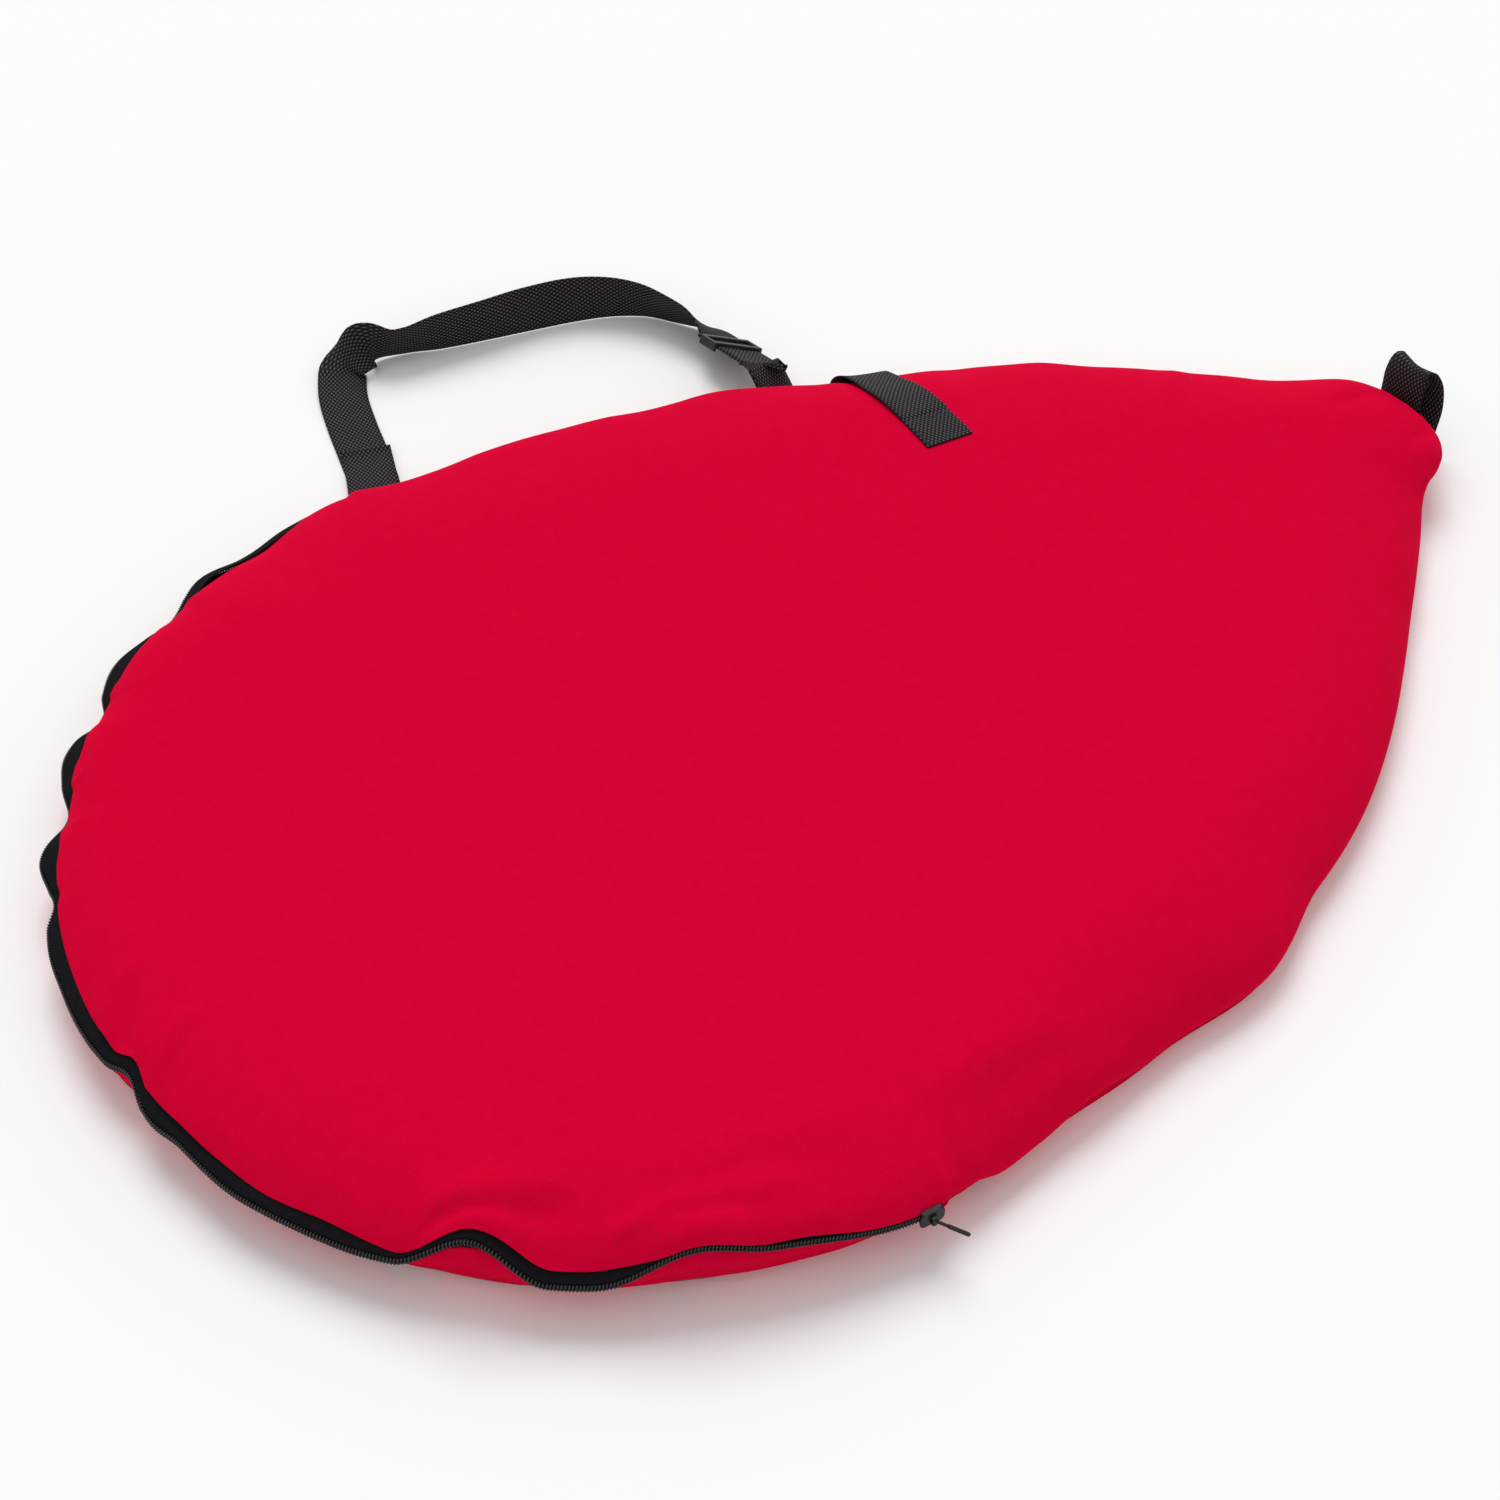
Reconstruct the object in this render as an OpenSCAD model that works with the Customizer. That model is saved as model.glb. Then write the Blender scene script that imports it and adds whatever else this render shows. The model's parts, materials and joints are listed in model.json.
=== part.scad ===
// Roundnet set in its zipped carry bag, lying flat.
// The origin is on the floor under the centre of the bag's round end, +X runs to the tip,
// +Y to the side with the shoulder strap, and +Z is up. Millimetres.

/* [Bag] */
// Distance from the centre of the round end to where the two sides would meet
tip_reach = 930; // [880:10:1000]
// Length cut off the tip, which makes its blunt end
tip_trim = 18; // [15:1:50]
// Height of the side wall, from the floor to the seam of the front panel
wall_h = 46; // [44:1:60]
// Height of the front panel in the middle of the bag
crown_h = 78; // [74:1:100]
// Width of the rounded border of the front panel
shoulder_w = 110; // [90:5:160]
// How far the side wall tucks in under the bag
foot_in = 22; // [10:1:24]
// Height over which the side wall tucks in
foot_rise = 19; // [16:0.5:19.5]
// Thickness of the cloth with its lining
cloth_t = 2; // [1:0.5:3]

/* [Zip] */
// Height of the zip chain above the floor
zip_z = 38; // [36:1:44]
// Width of one row of coil
coil_w = 3; // [2:0.5:4]
// Thickness of the coil
coil_t = 2.6; // [2:0.2:3.4]
// Slit between the two rows, where the slider's wedge runs
slit_w = 1.8; // [1.6:0.2:2.6]
// Thickness of the zip tape
tape_t = 1; // [0.6:0.2:1.2]
// Half the angle left without a zip, measured from the tip's direction
zip_end_a = 92.5; // [92:0.5:93]
// Where the slider parks, measured from the tip's direction
slider_a = 95.5; // [95:0.1:96]
// Where the flap's half of the zip starts, measured from the tip's direction
flap_a = 99.5; // [99:0.5:105]
// Length of the slider
slider_len = 20; // [16:1:22]
// Width of the slider
slider_w = 15; // [13:0.5:15]
// Thickness of each slider plate
slider_plate = 2; // [1.5:0.25:3]
// Length of the pull tab
pull_len = 27; // [20:1:45]
// Radius of the pull tab's pin
pin_r = 0.8; // [0.6:0.1:1]

/* [Webbing] */
// Width of the strap webbing
webbing_w = 50; // [38:1:52]
// Thickness of the strap webbing
webbing_t = 1.6; // [1.2:0.2:2.4]
// Length of the front tab that lies on the front panel
tab_len = 190; // [120:5:240]
// Farthest that the shoulder strap lies out from the bag
strap_out = 250; // [200:10:300]
// Height of the loop at the tip
loop_h = 80; // [60:5:110]
// Inner radius of the loop's bend
loop_r = 9; // [6:0.5:12]

/* [Strap adjuster] */
// Length of the adjuster along the webbing
adjuster_len = 32; // [28:1:38]
// Thickness of the adjuster's bars
bar_t = 3; // [2:0.5:4]
// Width of the adjuster's side rails
rail_w = 3.5; // [2.5:0.5:4]

/* [Ring] */
// Radius of the ring to the middle of its tube, which the bag is cut to fit
ring_r = 440; // [420:5:480]
// Outer radius of the ring tube
tube_r = 12.5; // [10:0.5:13]
// Wall of the tubes
tube_wall = 2.5; // [1.5:0.5:4]
// Wall of the joint sleeves
sleeve_wall = 3.3; // [2.5:0.1:3.5]
// Half the angle that a joint sleeve covers
sleeve_a = 4.5; // [3:0.5:7]
// Height of a leg spigot above its sleeve
spigot_h = 22; // [16:1:24]
// Distance between the cords of the net
net_pitch = 50; // [40:5:100]
// Thickness of the net's cords
net_cord = 1.6; // [1.2:0.2:3]
// Number of clips that hold the net
net_clips = 20; // [10:5:30]

/* [Legs] */
// Length of a leg tube
leg_len = 190; // [140:5:200]
// Depth of the socket in a leg
socket_depth = 30; // [20:1:50]
// Outer radius of a rubber foot
foot_r = 14.5; // [14:0.5:16]
// Length of a rubber foot
foot_len = 25; // [15:1:40]

/* [Balls] */
// Radius of a ball
ball_r = 46; // [38:1:47]
// Height that a let-down ball keeps
ball_h = 64; // [50:1:66]
// Wall of a ball
ball_wall = 2.5; // [1.5:0.5:4]

/* [Pump] */
// Outer radius of the pump barrel
barrel_r = 14; // [12:0.5:16]
// Length of the pump barrel
barrel_len = 130; // [115:5:150]
// Wall of the pump barrel
barrel_wall = 2.9; // [2:0.1:4]
// Radius of the pump rod
rod_r = 3.5; // [2.5:0.5:5]

/* [Hidden] */
SETS = [1:5];
BALLS = [1:3];

$fn = 96;
red = [0.84, 0.01, 0.2];
black = [0.07, 0.07, 0.08];
tube_black = [0.1, 0.1, 0.11];
grey = [0.45, 0.46, 0.48];
steel = [0.75, 0.75, 0.78];
cord_grey = [0.7, 0.7, 0.72];
touch = 0.05;           // gap between soft faces that lie on each other
clear = 0.3;            // gap between pieces that lie loose or move past each other
running = 0.07;         // gap between a pin and its bore
far = 2000;             // larger than the whole bag
over = 1;               // how far a cut runs past the face it opens

// The ring in its bag, with room between its joints and the edge of the zip tape.
flap_in = 9;                               // the flap's edge lies this far inside the outline
ring_slack = 1.05;
sleeve_r = tube_r + clear / 2 + sleeve_wall;
round_r = ring_r + sleeve_r + ring_slack + 2 * tape_t + cloth_t + flap_in;
tip_cut = tip_reach - tip_trim;

// The two sides of the bag are arcs that leave the round end without a corner.
side_r = (tip_reach * tip_reach + round_r * round_r) / (2 * round_r);
side_c = side_r - round_r;
// Half the width of the bag, at a distance towards the tip.
function seam_y(x) = sqrt(side_r * side_r - x * x) - side_c;

// The flap turns about this line, where the cloth folds.
fold_x = round_r * cos(flap_a);
fold_gap = 0.4;

// Zip profile: distances inward from the outline, and heights.
tape_in = cloth_t;                         // outer face of the tape
row_low = zip_z - slit_w / 2;
row_high = zip_z + slit_w / 2;
zip_clear = 0.6;                           // room between chain and slider
wall_under_zip = zip_z - slider_w / 2 - zip_clear;
tape_straight = slider_w / 2 + over;       // the upper tape stands up to here, and slopes above
tape_seam = 10;                            // the lower tape reaches this far behind the wall
chain_r = round_r - tape_in;

inside_z = cloth_t + clear;                // what lies in the bag lies here
ring_z = inside_z + sleeve_r;
step_a = 360 / 5;

/* Outline and shell of the bag */

// Flat outline of the bag, with its round end and sides drawn in by a distance.
module outline(inset) {
    intersection() {
        union() {
            intersection() {
                circle(r = round_r - inset, $fn = 180);
                translate([-far, -far / 2]) square([far, far]);
            }
            intersection_for (side = [-1, 1]) {
                translate([0, side * side_c]) circle(r = side_r - inset, $fn = 360);
                translate([0, -far / 2]) square([far, far]);
            }
        }
        translate([-far, -far / 2]) square([far + tip_cut, far]);
    }
}

// Half section of the front panel's dome: a flat top that rounds down to the seam. The side
// wall below the seam stands straight, and tucks in towards the floor.
function dome_height(inset, top, base) =
    base + (top - base) * sqrt(1 - pow(1 - min(inset / shoulder_w, 1), 2));

function dome_section(r, top, base) = concat(
    [[0, base]],
    [for (share = [0, 0.015, 0.035, 0.075, 0.13, 0.2, 0.3, 0.41, 0.55, 0.75, 1])
        let (inset = share * shoulder_w) [r - inset, dome_height(inset, top, base)]],
    [[0, top]]);

module dome(r, top, base, foot) {
    rotate_extrude($fn = 360)
        polygon(concat([[0, foot], [r - foot_in * (1 - min(foot / foot_rise, 1)), foot]],
            foot < foot_rise ? [[r, foot_rise]] : [],
            [for (p = dome_section(r, top, base)) if (p[0] > 0) p], [[0, top]]));
}

// The closed bag from a height up, drawn in by a distance; a negative one makes it larger.
module bag_body(inset = 0, foot = wall_h) {
    intersection() {
        union() {
            intersection() {
                dome(round_r - inset, crown_h - inset, wall_h, foot);
                translate([-far, -far / 2, 0]) cube([far, far, far]);
            }
            intersection() {
                for_sides(1) dome(side_r - inset, crown_h - inset, wall_h, foot);
                for_sides(-1) dome(side_r - inset, crown_h - inset, wall_h, foot);
                translate([0, -far / 2, 0]) cube([far, far, far]);
            }
        }
        translate([-far, -far / 2, 0]) cube([far + tip_cut - inset, far, far]);
    }
}

module for_sides(side) {
    translate([0, side * side_c, 0]) children();
}

// Where the zip takes the place of the cloth.
module zip_window(low, high) {
    rotate([0, 0, zip_end_a])
        rotate_extrude(angle = 360 - 2 * zip_end_a, $fn = 180)
            translate([round_r - flap_in, low]) square([far, high - low]);
}

// A profile swept round the zip, between two angles from the tip's direction.
module round_zip(from_a, to_a) {
    rotate([0, 0, from_a]) rotate_extrude(angle = to_a - from_a, $fn = 180) children();
}

/* Bag shell */

// The back panel's edge lies under the foot of the side wall.
module back_panel() {
    color(red) linear_extrude(cloth_t) outline(foot_in * (1 - cloth_t / foot_rise));
}

module side_wall() {
    color(red) difference() {
        bag_body(0, cloth_t);
        bag_body(cloth_t, 0);
        translate([-far, -far, wall_h]) cube([2 * far, 2 * far, far]);
        zip_window(wall_under_zip, wall_h + over);
    }
}

module panel_shell() {
    difference() {
        bag_body();
        translate([0, 0, -touch]) bag_body(cloth_t, wall_h - over);
    }
}

module front_panel() {
    color(red) difference() {
        intersection() {
            panel_shell();
            translate([fold_x, -far / 2, 0]) cube([far, far, far]);
        }
        zip_window(wall_h - over, crown_h);
    }
}

module front_flap() {
    color(red) intersection() {
        panel_shell();
        translate([-far + fold_x - fold_gap, -far / 2, 0]) cube([far, far, far]);
        cylinder(r = round_r - flap_in, h = far, $fn = 180);
    }
}

/* Zip */

// Lower tape: stands inside the top of the side wall.
module lower_tape_profile() {
    foot = wall_under_zip - tape_seam;
    translate([chain_r - tape_t, foot]) square([tape_t, row_low - foot]);
}

// Upper tape: stands behind its coil, then slopes in under the front panel.
module upper_tape_profile() {
    bend_z = zip_z + tape_straight;
    end_r = round_r - flap_in - tape_t - cloth_t;
    end_z = dome_height(flap_in, crown_h, wall_h) - 2 * cloth_t;
    polygon([[chain_r, row_high], [chain_r, bend_z], [end_r, end_z],
             [end_r - tape_t, end_z - tape_t / 2], [chain_r - tape_t, bend_z - tape_t / 2],
             [chain_r - tape_t, row_high]]);
}

module coil_profile(z) {
    translate([chain_r, z]) square([coil_t, coil_w]);
}

module zip_tape_lower() {
    color(black) round_zip(zip_end_a, 360 - zip_end_a) lower_tape_profile();
}

module zip_coil_lower() {
    color(black) round_zip(zip_end_a + 1, 359 - zip_end_a) coil_profile(row_low - coil_w);
}

module on_flap() {
    intersection() {
        children();
        translate([-far + fold_x - fold_gap, -far / 2, 0]) cube([far, far, far]);
    }
}

module zip_tape_upper() {
    color(black) on_flap() round_zip(zip_end_a, 360 - zip_end_a) upper_tape_profile();
}

module zip_coil_upper() {
    color(black) on_flap() round_zip(zip_end_a + 1, 359 - zip_end_a) coil_profile(row_high);
}

// The last stretches of the upper tape and coil, past the fold, stay on the bag.
module zip_ends() {
    color(black) difference() {
        union() {
            round_zip(zip_end_a, 360 - zip_end_a) upper_tape_profile();
            round_zip(zip_end_a + 1, 359 - zip_end_a) coil_profile(row_high);
        }
        translate([-far + fold_x, -far / 2, 0]) cube([far, far, far]);
    }
}

// A moulded stop closes each end of the chain.
module zip_stops() {
    stop_h = slit_w + 2 * coil_w;
    stop_len = 3.6;
    color(black) for (side = [-1, 1])
        rotate([0, 0, side * (zip_end_a + 0.5)])
            translate([chain_r + touch, -stop_len / 2, zip_z - stop_h / 2])
                cube([coil_t, stop_len, stop_h]);
}

// Slider, drawn with +X out of the bag, +Y along the zip and the chain's middle at the origin.
plate_out = coil_t + zip_clear;            // inner face of the outer plate, from the tape
plate_in = tape_t + zip_clear;             // outer face of the inner plate, from the tape
wedge_len = 6;                             // the post that joins the two plates
ear_w = 1.6;
ear_len = 5;
ear_gap = 5.2;
ear_out = 4;
pin_lift = 2.2;                            // from the outer plate to the middle of the pin
pin_out = plate_out + slider_plate + pin_lift;

module slider_place() {
    rotate([0, 0, -slider_a]) translate([chain_r, 0, zip_z]) children();
}

module box_between(low, high) {
    translate(low) cube(high - low);
}

module zip_slider() {
    half_l = slider_len / 2;
    half_w = slider_w / 2;
    flange_in = slit_w / 2 + coil_w + zip_clear;
    color(black) slider_place() {
        box_between([plate_out, -half_l, -half_w], [plate_out + slider_plate, half_l, half_w]);
        box_between([-plate_in - slider_plate, -half_l, -half_w], [-plate_in, half_l, half_w]);
        for (side = [0, 1]) mirror([0, 0, side])
            box_between([zip_clear, -half_l, flange_in], [plate_out, half_l, half_w]);
        box_between([-plate_in, -wedge_len / 2, -slit_w / 2 + clear],
                    [plate_out, wedge_len / 2, slit_w / 2 - clear]);
        for (side = [0, 1]) mirror([0, 0, side])
            box_between([plate_out + slider_plate, -ear_len / 2, ear_gap / 2],
                        [plate_out + slider_plate + ear_out, ear_len / 2, ear_gap / 2 + ear_w]);
        translate([pin_out, 0, -ear_gap / 2]) cylinder(r = pin_r, h = ear_gap);
    }
}

pull_turn = 35;
pull_t = 1.4;
pull_eye_r = 2;
pull_hole_in = 7;                          // from the pull tab's end to its hole

module zip_pull() {
    pull_w = ear_gap - 2 * clear;
    color(black) slider_place() translate([pin_out, 0, -pull_w / 2]) rotate([0, 0, pull_turn])
        difference() {
            union() {
                cylinder(r = pull_eye_r, h = pull_w);
                translate([0, -pull_t / 2, 0]) cube([pull_len, pull_t, pull_w]);
            }
            translate([0, 0, -over]) cylinder(r = pin_r + running, h = pull_w + 2 * over);
            translate([pull_len - pull_hole_in, -pull_t, pull_w / 2]) rotate([-90, 0, 0])
                cylinder(r = pull_w / 4, h = 2 * pull_t);
        }
}

/* Shoulder strap */

// Stations of the strap's middle line, each as four numbers: how far along the bag, in percent
// of its length; how far out from its side, in percent of strap_out; the lean of the webbing,
// 0 where it lies flat and 90 where it stands on edge; and the lift of its lower edge, in
// percent of the webbing's width.
strap_lie = [
    [1.54, 3.6, 0, 0], [3.29, 20.2, 0, 0], [5.15, 38.4, 0, 0], [6.8, 56.7, 0, 0],
    [8.33, 75, 4, 0], [9.87, 91, 16, 0], [12.5, 99.8, 38, 0], [16.45, 97.9, 50, 0],
    [21.38, 95.8, 60, 0], [26.86, 94.5, 68, 0], [32.02, 93.4, 76, 0], [36.95, 92.1, 82, 0],
    [41.01, 88.9, 88, 0], [44.19, 82.2, 96, 0], [46.16, 73.4, 108, 0], [47.37, 63.5, 125, 4]];
// The stretch that the adjuster slides on is straight: from the adjuster to the bag.
run_lie = [[47.81, 40.6, 155, 24], [46.93, 2.1, 155, 72]];

function station(lie) =
    let (x = lie[0] / 100 * tip_cut)
    [x, seam_y(x) + lie[1] / 100 * strap_out, lie[2], lie[3] / 100 * webbing_w];

strap_free = [for (lie = strap_lie) station(lie)];
run_foot = station(run_lie[0]);
run_top = station(run_lie[1]);
run_len = norm(middle(run_top) - middle(run_foot));
run_step = (run_top - run_foot) / run_len;
run_start = adjuster_len / 2 + 4;          // the straight stretch starts beyond the adjuster
run_ease = 12;
strap_route = concat(strap_free,
    [run_foot - run_step * (run_start + run_ease), run_foot - run_step * run_start,
     run_foot, run_top]);

function middle(s) = [s[0], s[1], s[3] + webbing_t / 2 + webbing_w / 2 * sin(s[2])];
function unit(v) = v / norm(v);
function heading(route, i) =
    unit(middle(route[min(i + 1, len(route) - 1)]) - middle(route[max(i - 1, 0)]));
function across(route, i) =
    let (t = heading(route, i), flat = unit([-t[1], t[0], 0]), lean = route[i][2],
         w = flat * cos(lean) + [0, 0, sin(lean)])
    unit(w - t * (w * t));

// The webbing between two heights above its own middle layer, as one closed ribbon. Its two
// broad faces are split along the same diagonals, so that they stay apart where it twists.
module ribbon(route, low, high, width = webbing_w) {
    rings = [for (i = [0 : len(route) - 1])
        let (w = across(route, i), up = cross(heading(route, i), w), m = middle(route[i]))
        for (corner = [[1, low], [-1, low], [-1, high], [1, high]])
            m + w * corner[0] * width / 2 + up * corner[1]];
    last = 4 * (len(route) - 1);
    polyhedron(rings, concat(
        [[0, 1, 2], [0, 2, 3], [last + 2, last + 1, last], [last + 3, last + 2, last]],
        [for (i = [0 : len(route) - 2]) for (k = [0 : 3]) for (half = [0, 1])
            let (a = 4 * i + k, b = 4 * i + (k + 1) % 4)
            k == 2 ? (half == 0 ? [a, a + 4, b + 4] : [a, b + 4, b])
                : (half == 0 ? [a, a + 4, b] : [b, a + 4, b + 4])]));
}

module shoulder_strap() {
    color(black) ribbon(strap_route, -webbing_t / 2, webbing_t / 2);
}

// The free end comes back through the adjuster and lies under the strap.
tail_end = 2;                              // it stops this far short of the bag

module strap_tail() {
    run = [for (s = [-run_start, 0, run_len - tail_end]) run_foot + run_step * s];
    color(black) ribbon(run, webbing_t / 2 + touch, 3 * webbing_t / 2 + touch);
}

// Sewn to the side wall, then out along the floor to the strap.
patch_foot = 8;                            // sewn webbing starts this far above the floor

module strap_anchor_round() {
    along = [for (i = [0, 1]) strap_free[2][i] - strap_free[0][i]];
    back = webbing_w;                      // the strip starts behind the wall, and is cut there
    wall_y = round_r + clear;
    color(black) difference() {
        translate([strap_free[0][0], strap_free[0][1], 0]) {
            translate([-webbing_w / 2, wall_y - strap_free[0][1], webbing_t + touch])
                cube([webbing_w, webbing_t, wall_under_zip - patch_foot]);
            rotate([0, 0, atan2(along[1], along[0])])
                translate([-back, -webbing_w / 2, webbing_t + touch])
                    cube([norm(along) + back, webbing_w, webbing_t]);
        }
        translate([-far / 2, wall_y - far, -over]) cube([far, far, far]);
    }
}

// Patch on the far wall that the doubled strap is sewn to.
module strap_anchor_tip() {
    hem = 3;
    color(black) intersection() {
        skin();
        translate([run_top[0] - webbing_w / 2 - hem, 0, patch_foot])
            cube([webbing_w + 2 * hem, far, wall_h + hem - patch_foot]);
    }
}

// Webbing that lies on the outside of the bag, as a skin over its body.
module skin() {
    difference() {
        bag_body(-webbing_t - touch, over);
        bag_body(-touch, 0);
    }
}

/* Adjuster */

slot_clear = 0.4;                          // between the webbing's faces and the bars
edge_clear = 0.7;                          // between the webbing's edges and the rails
bar_w = 6;
middle_bar_w = 5;

// Drawn with +X along the webbing towards the bag, +Y across it and +Z to the tail's side.
module on_run() {
    t = unit(middle(run_top) - middle(run_foot));
    flat = unit([-t[1], t[0], 0]);
    raw = flat * cos(run_foot[2]) + [0, 0, sin(run_foot[2])];
    w = unit(raw - t * (raw * t));
    up = cross(t, w);
    m = middle(run_foot);
    multmatrix([[t[0], w[0], up[0], m[0]], [t[1], w[1], up[1], m[1]],
                [t[2], w[2], up[2], m[2]], [0, 0, 0, 1]]) children();
}

module strap_adjuster() {
    half_l = adjuster_len / 2;
    half_w = webbing_w / 2 + edge_clear;
    low = -webbing_t / 2 - slot_clear;
    high = 3 * webbing_t / 2 + touch + slot_clear;
    color(black) on_run() {
        for (side = [0, 1]) mirror([0, side, 0])
            box_between([-half_l, half_w, low - bar_t], [half_l, half_w + rail_w, high + bar_t]);
        for (side = [0, 1]) mirror([side, 0, 0])
            box_between([half_l - bar_w, -half_w, low - bar_t], [half_l, half_w, low]);
        box_between([-middle_bar_w / 2, -half_w, high], [middle_bar_w / 2, half_w, high + bar_t]);
    }
}

/* Front tab and tip loop */

tab_x = 0.5241 * tip_cut;
tab_turn = -7;

module front_tab() {
    color(black) intersection() {
        skin();
        translate([tab_x, seam_y(tab_x) - tab_len, 0]) rotate([0, 0, tab_turn])
            translate([-webbing_w / 2, 0, patch_foot]) cube([webbing_w, far, far]);
    }
}

// A hairpin of webbing that stands on the blunt end of the tip.
loop_shift = 5;                            // to the side without the strap

module tip_loop() {
    outer = loop_r + webbing_t;
    top = loop_h - outer;
    foot = patch_foot;
    color(black)
        translate([tip_cut + clear, -webbing_w / 2 - loop_shift, 0])
            rotate([90, 0, 0]) mirror([0, 0, 1])
            linear_extrude(webbing_w) {
                translate([outer, top]) difference() {
                    circle(r = outer);
                    circle(r = loop_r);
                    translate([-2 * outer, -2 * outer]) square([4 * outer, 2 * outer]);
                }
                translate([0, foot]) square([webbing_t, top - foot]);
                polygon([[2 * outer, top], [2 * outer - webbing_t, top],
                         [webbing_t + touch, foot], [2 * webbing_t + touch, foot]]);
            }
}

/* Ring */

// One fifth of the ring, as a bent tube between two joints.
module ring_tube(k) {
    gap_a = 0.15;
    color(tube_black) rotate([0, 0, (k - 1) * step_a + gap_a])
        rotate_extrude(angle = step_a - 2 * gap_a, $fn = 180)
            translate([ring_r, ring_z]) difference() {
                circle(r = tube_r, $fn = 32);
                circle(r = tube_r - tube_wall, $fn = 32);
            }
}

// Sleeve over two tube ends, with the spigot that a leg pushes onto.
module ring_joint(k) {
    sink = 1.5;                            // the spigot starts inside the sleeve's wall
    color(grey) rotate([0, 0, (k - 1) * step_a]) {
        rotate([0, 0, -sleeve_a]) rotate_extrude(angle = 2 * sleeve_a, $fn = 180)
            translate([ring_r, ring_z]) difference() {
                circle(r = sleeve_r, $fn = 32);
                circle(r = tube_r + clear / 2, $fn = 32);
            }
        translate([ring_r, 0, ring_z + sleeve_r - sink]) cylinder(r = spigot_r, h = spigot_h + sink);
    }
}

spigot_r = tube_r - tube_wall - clear;
clip_len = 11;
clip_w = 6;
clip_t = 3;
hoop_r = ring_r - tube_r - clip_len;

module net() {
    count = ceil(hoop_r / net_pitch);
    color(cord_grey) translate([0, 0, ring_z - net_cord / 2]) {
        linear_extrude(net_cord) {
            intersection() {
                circle(r = hoop_r, $fn = 120);
                for (turn = [0, 90]) rotate(turn) for (i = [-count : count])
                    translate([-far / 2, i * net_pitch - net_cord / 2]) square([far, net_cord]);
            }
            difference() {
                circle(r = hoop_r, $fn = 120);
                circle(r = hoop_r - 2 * net_cord, $fn = 120);
            }
        }
    }
}

module net_clips() {
    color(cord_grey) for (k = [0 : net_clips - 1])
        rotate([0, 0, (k + 0.5) * 360 / net_clips])
            translate([hoop_r + touch, -clip_w / 2, ring_z - clip_t / 2])
                cube([clip_len - 3 * touch, clip_w, clip_t]);
}

/* Legs, balls and pump, in the tip of the bag */

stow_gap = 3;                              // between pieces that are stowed side by side
leg_pitch = 2 * foot_r + stow_gap;
leg_x = round_r + leg_pitch / 2 + 2 * stow_gap;
leg_y = 15 * stow_gap;
foot_base = 3;                             // rubber under the end of the leg

// Drawn lying along +Y, with its foot at the low end.
module lie_leg(k) {
    translate([leg_x + (k - 1) * leg_pitch, leg_y, inside_z + foot_r])
        rotate([-90, 0, 0]) children();
}

module leg(k) {
    color(tube_black) lie_leg(k) difference() {
        cylinder(r = tube_r, h = leg_len);
        translate([0, 0, leg_len - socket_depth])
            cylinder(r = tube_r - tube_wall, h = socket_depth + over);
    }
}

module leg_foot(k) {
    color(grey) lie_leg(k) translate([0, 0, -foot_base]) difference() {
        cylinder(r = foot_r, h = foot_len);
        translate([0, 0, foot_base - touch]) cylinder(r = tube_r + touch, h = foot_len);
    }
}

ball_x = round_r + ball_r + 5 * stow_gap;
ball_y = -ball_r - 3 * stow_gap;
ball_places = [[ball_x, ball_y], [ball_x, 3 * ball_y],
               [ball_x + 2 * ball_r + stow_gap, 2 * ball_y]];

// A ball with some air let out: its top is pushed in to a dish.
module dished(r, top) {
    difference() {
        sphere(r = r);
        translate([0, 0, 2 * top]) sphere(r = r);
    }
}

module ball(k) {
    place = ball_places[k - 1];
    top = ball_h - ball_r;
    color(red) translate([place[0], place[1], inside_z + ball_r])
        difference() {
            dished(ball_r, top);
            difference() {
                sphere(r = ball_r - ball_wall);
                translate([0, 0, 2 * top]) sphere(r = ball_r + ball_wall);
            }
        }
}

cap_r = barrel_r + 1.5;
cap_len = 10;
cap_top = 4;                               // the cap stands this far over the barrel's end
bore_r = barrel_r - barrel_wall;
base_t = 6;
neck_r = 5;
neck_len = 10;
needle_base_r = 3;
needle_base_len = 6;
needle_r = 1;
needle_len = 34;
piston_len = 8;
handle_r = 7;
handle_len = 56;
pump_x = ball_places[2][0] + ball_r + handle_len / 2 + 7 * stow_gap;
pump_y = -barrel_len + 5 * stow_gap;

// Drawn lying along +Y, with the needle at the low end.
module lie_pump() {
    translate([pump_x, pump_y, inside_z + cap_r]) rotate([-90, 0, 0]) children();
}

module pump_barrel() {
    color(tube_black) lie_pump() {
        difference() {
            cylinder(r = barrel_r, h = barrel_len);
            translate([0, 0, base_t]) cylinder(r = bore_r, h = barrel_len);
        }
        translate([0, 0, -neck_len]) cylinder(r = neck_r, h = neck_len);
    }
}

module pump_cap() {
    color(grey) lie_pump() translate([0, 0, barrel_len - cap_len + cap_top]) difference() {
        cylinder(r = cap_r, h = cap_len);
        translate([0, 0, -over]) cylinder(r = barrel_r + touch, h = cap_len - cap_top + over);
        cylinder(r = rod_r + running, h = cap_len + over);
    }
}

module pump_needle() {
    color(steel) lie_pump() translate([0, 0, -neck_len - touch]) rotate([180, 0, 0]) {
        cylinder(r = needle_base_r, h = needle_base_len);
        translate([0, 0, needle_base_len]) cylinder(r = needle_r, h = needle_len - needle_base_len);
    }
}

rod_end = barrel_len + cap_top + clear;

module pump_rod() {
    color(steel) lie_pump() {
        translate([0, 0, base_t + clear]) cylinder(r = bore_r - running, h = piston_len);
        translate([0, 0, base_t + clear]) cylinder(r = rod_r, h = rod_end - base_t - clear);
    }
}

module pump_handle() {
    color(tube_black) lie_pump() translate([0, 0, rod_end + touch + handle_r])
        rotate([0, 90, 0]) cylinder(r = handle_r, h = handle_len, center = true);
}

/* What is drawn */

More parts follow.
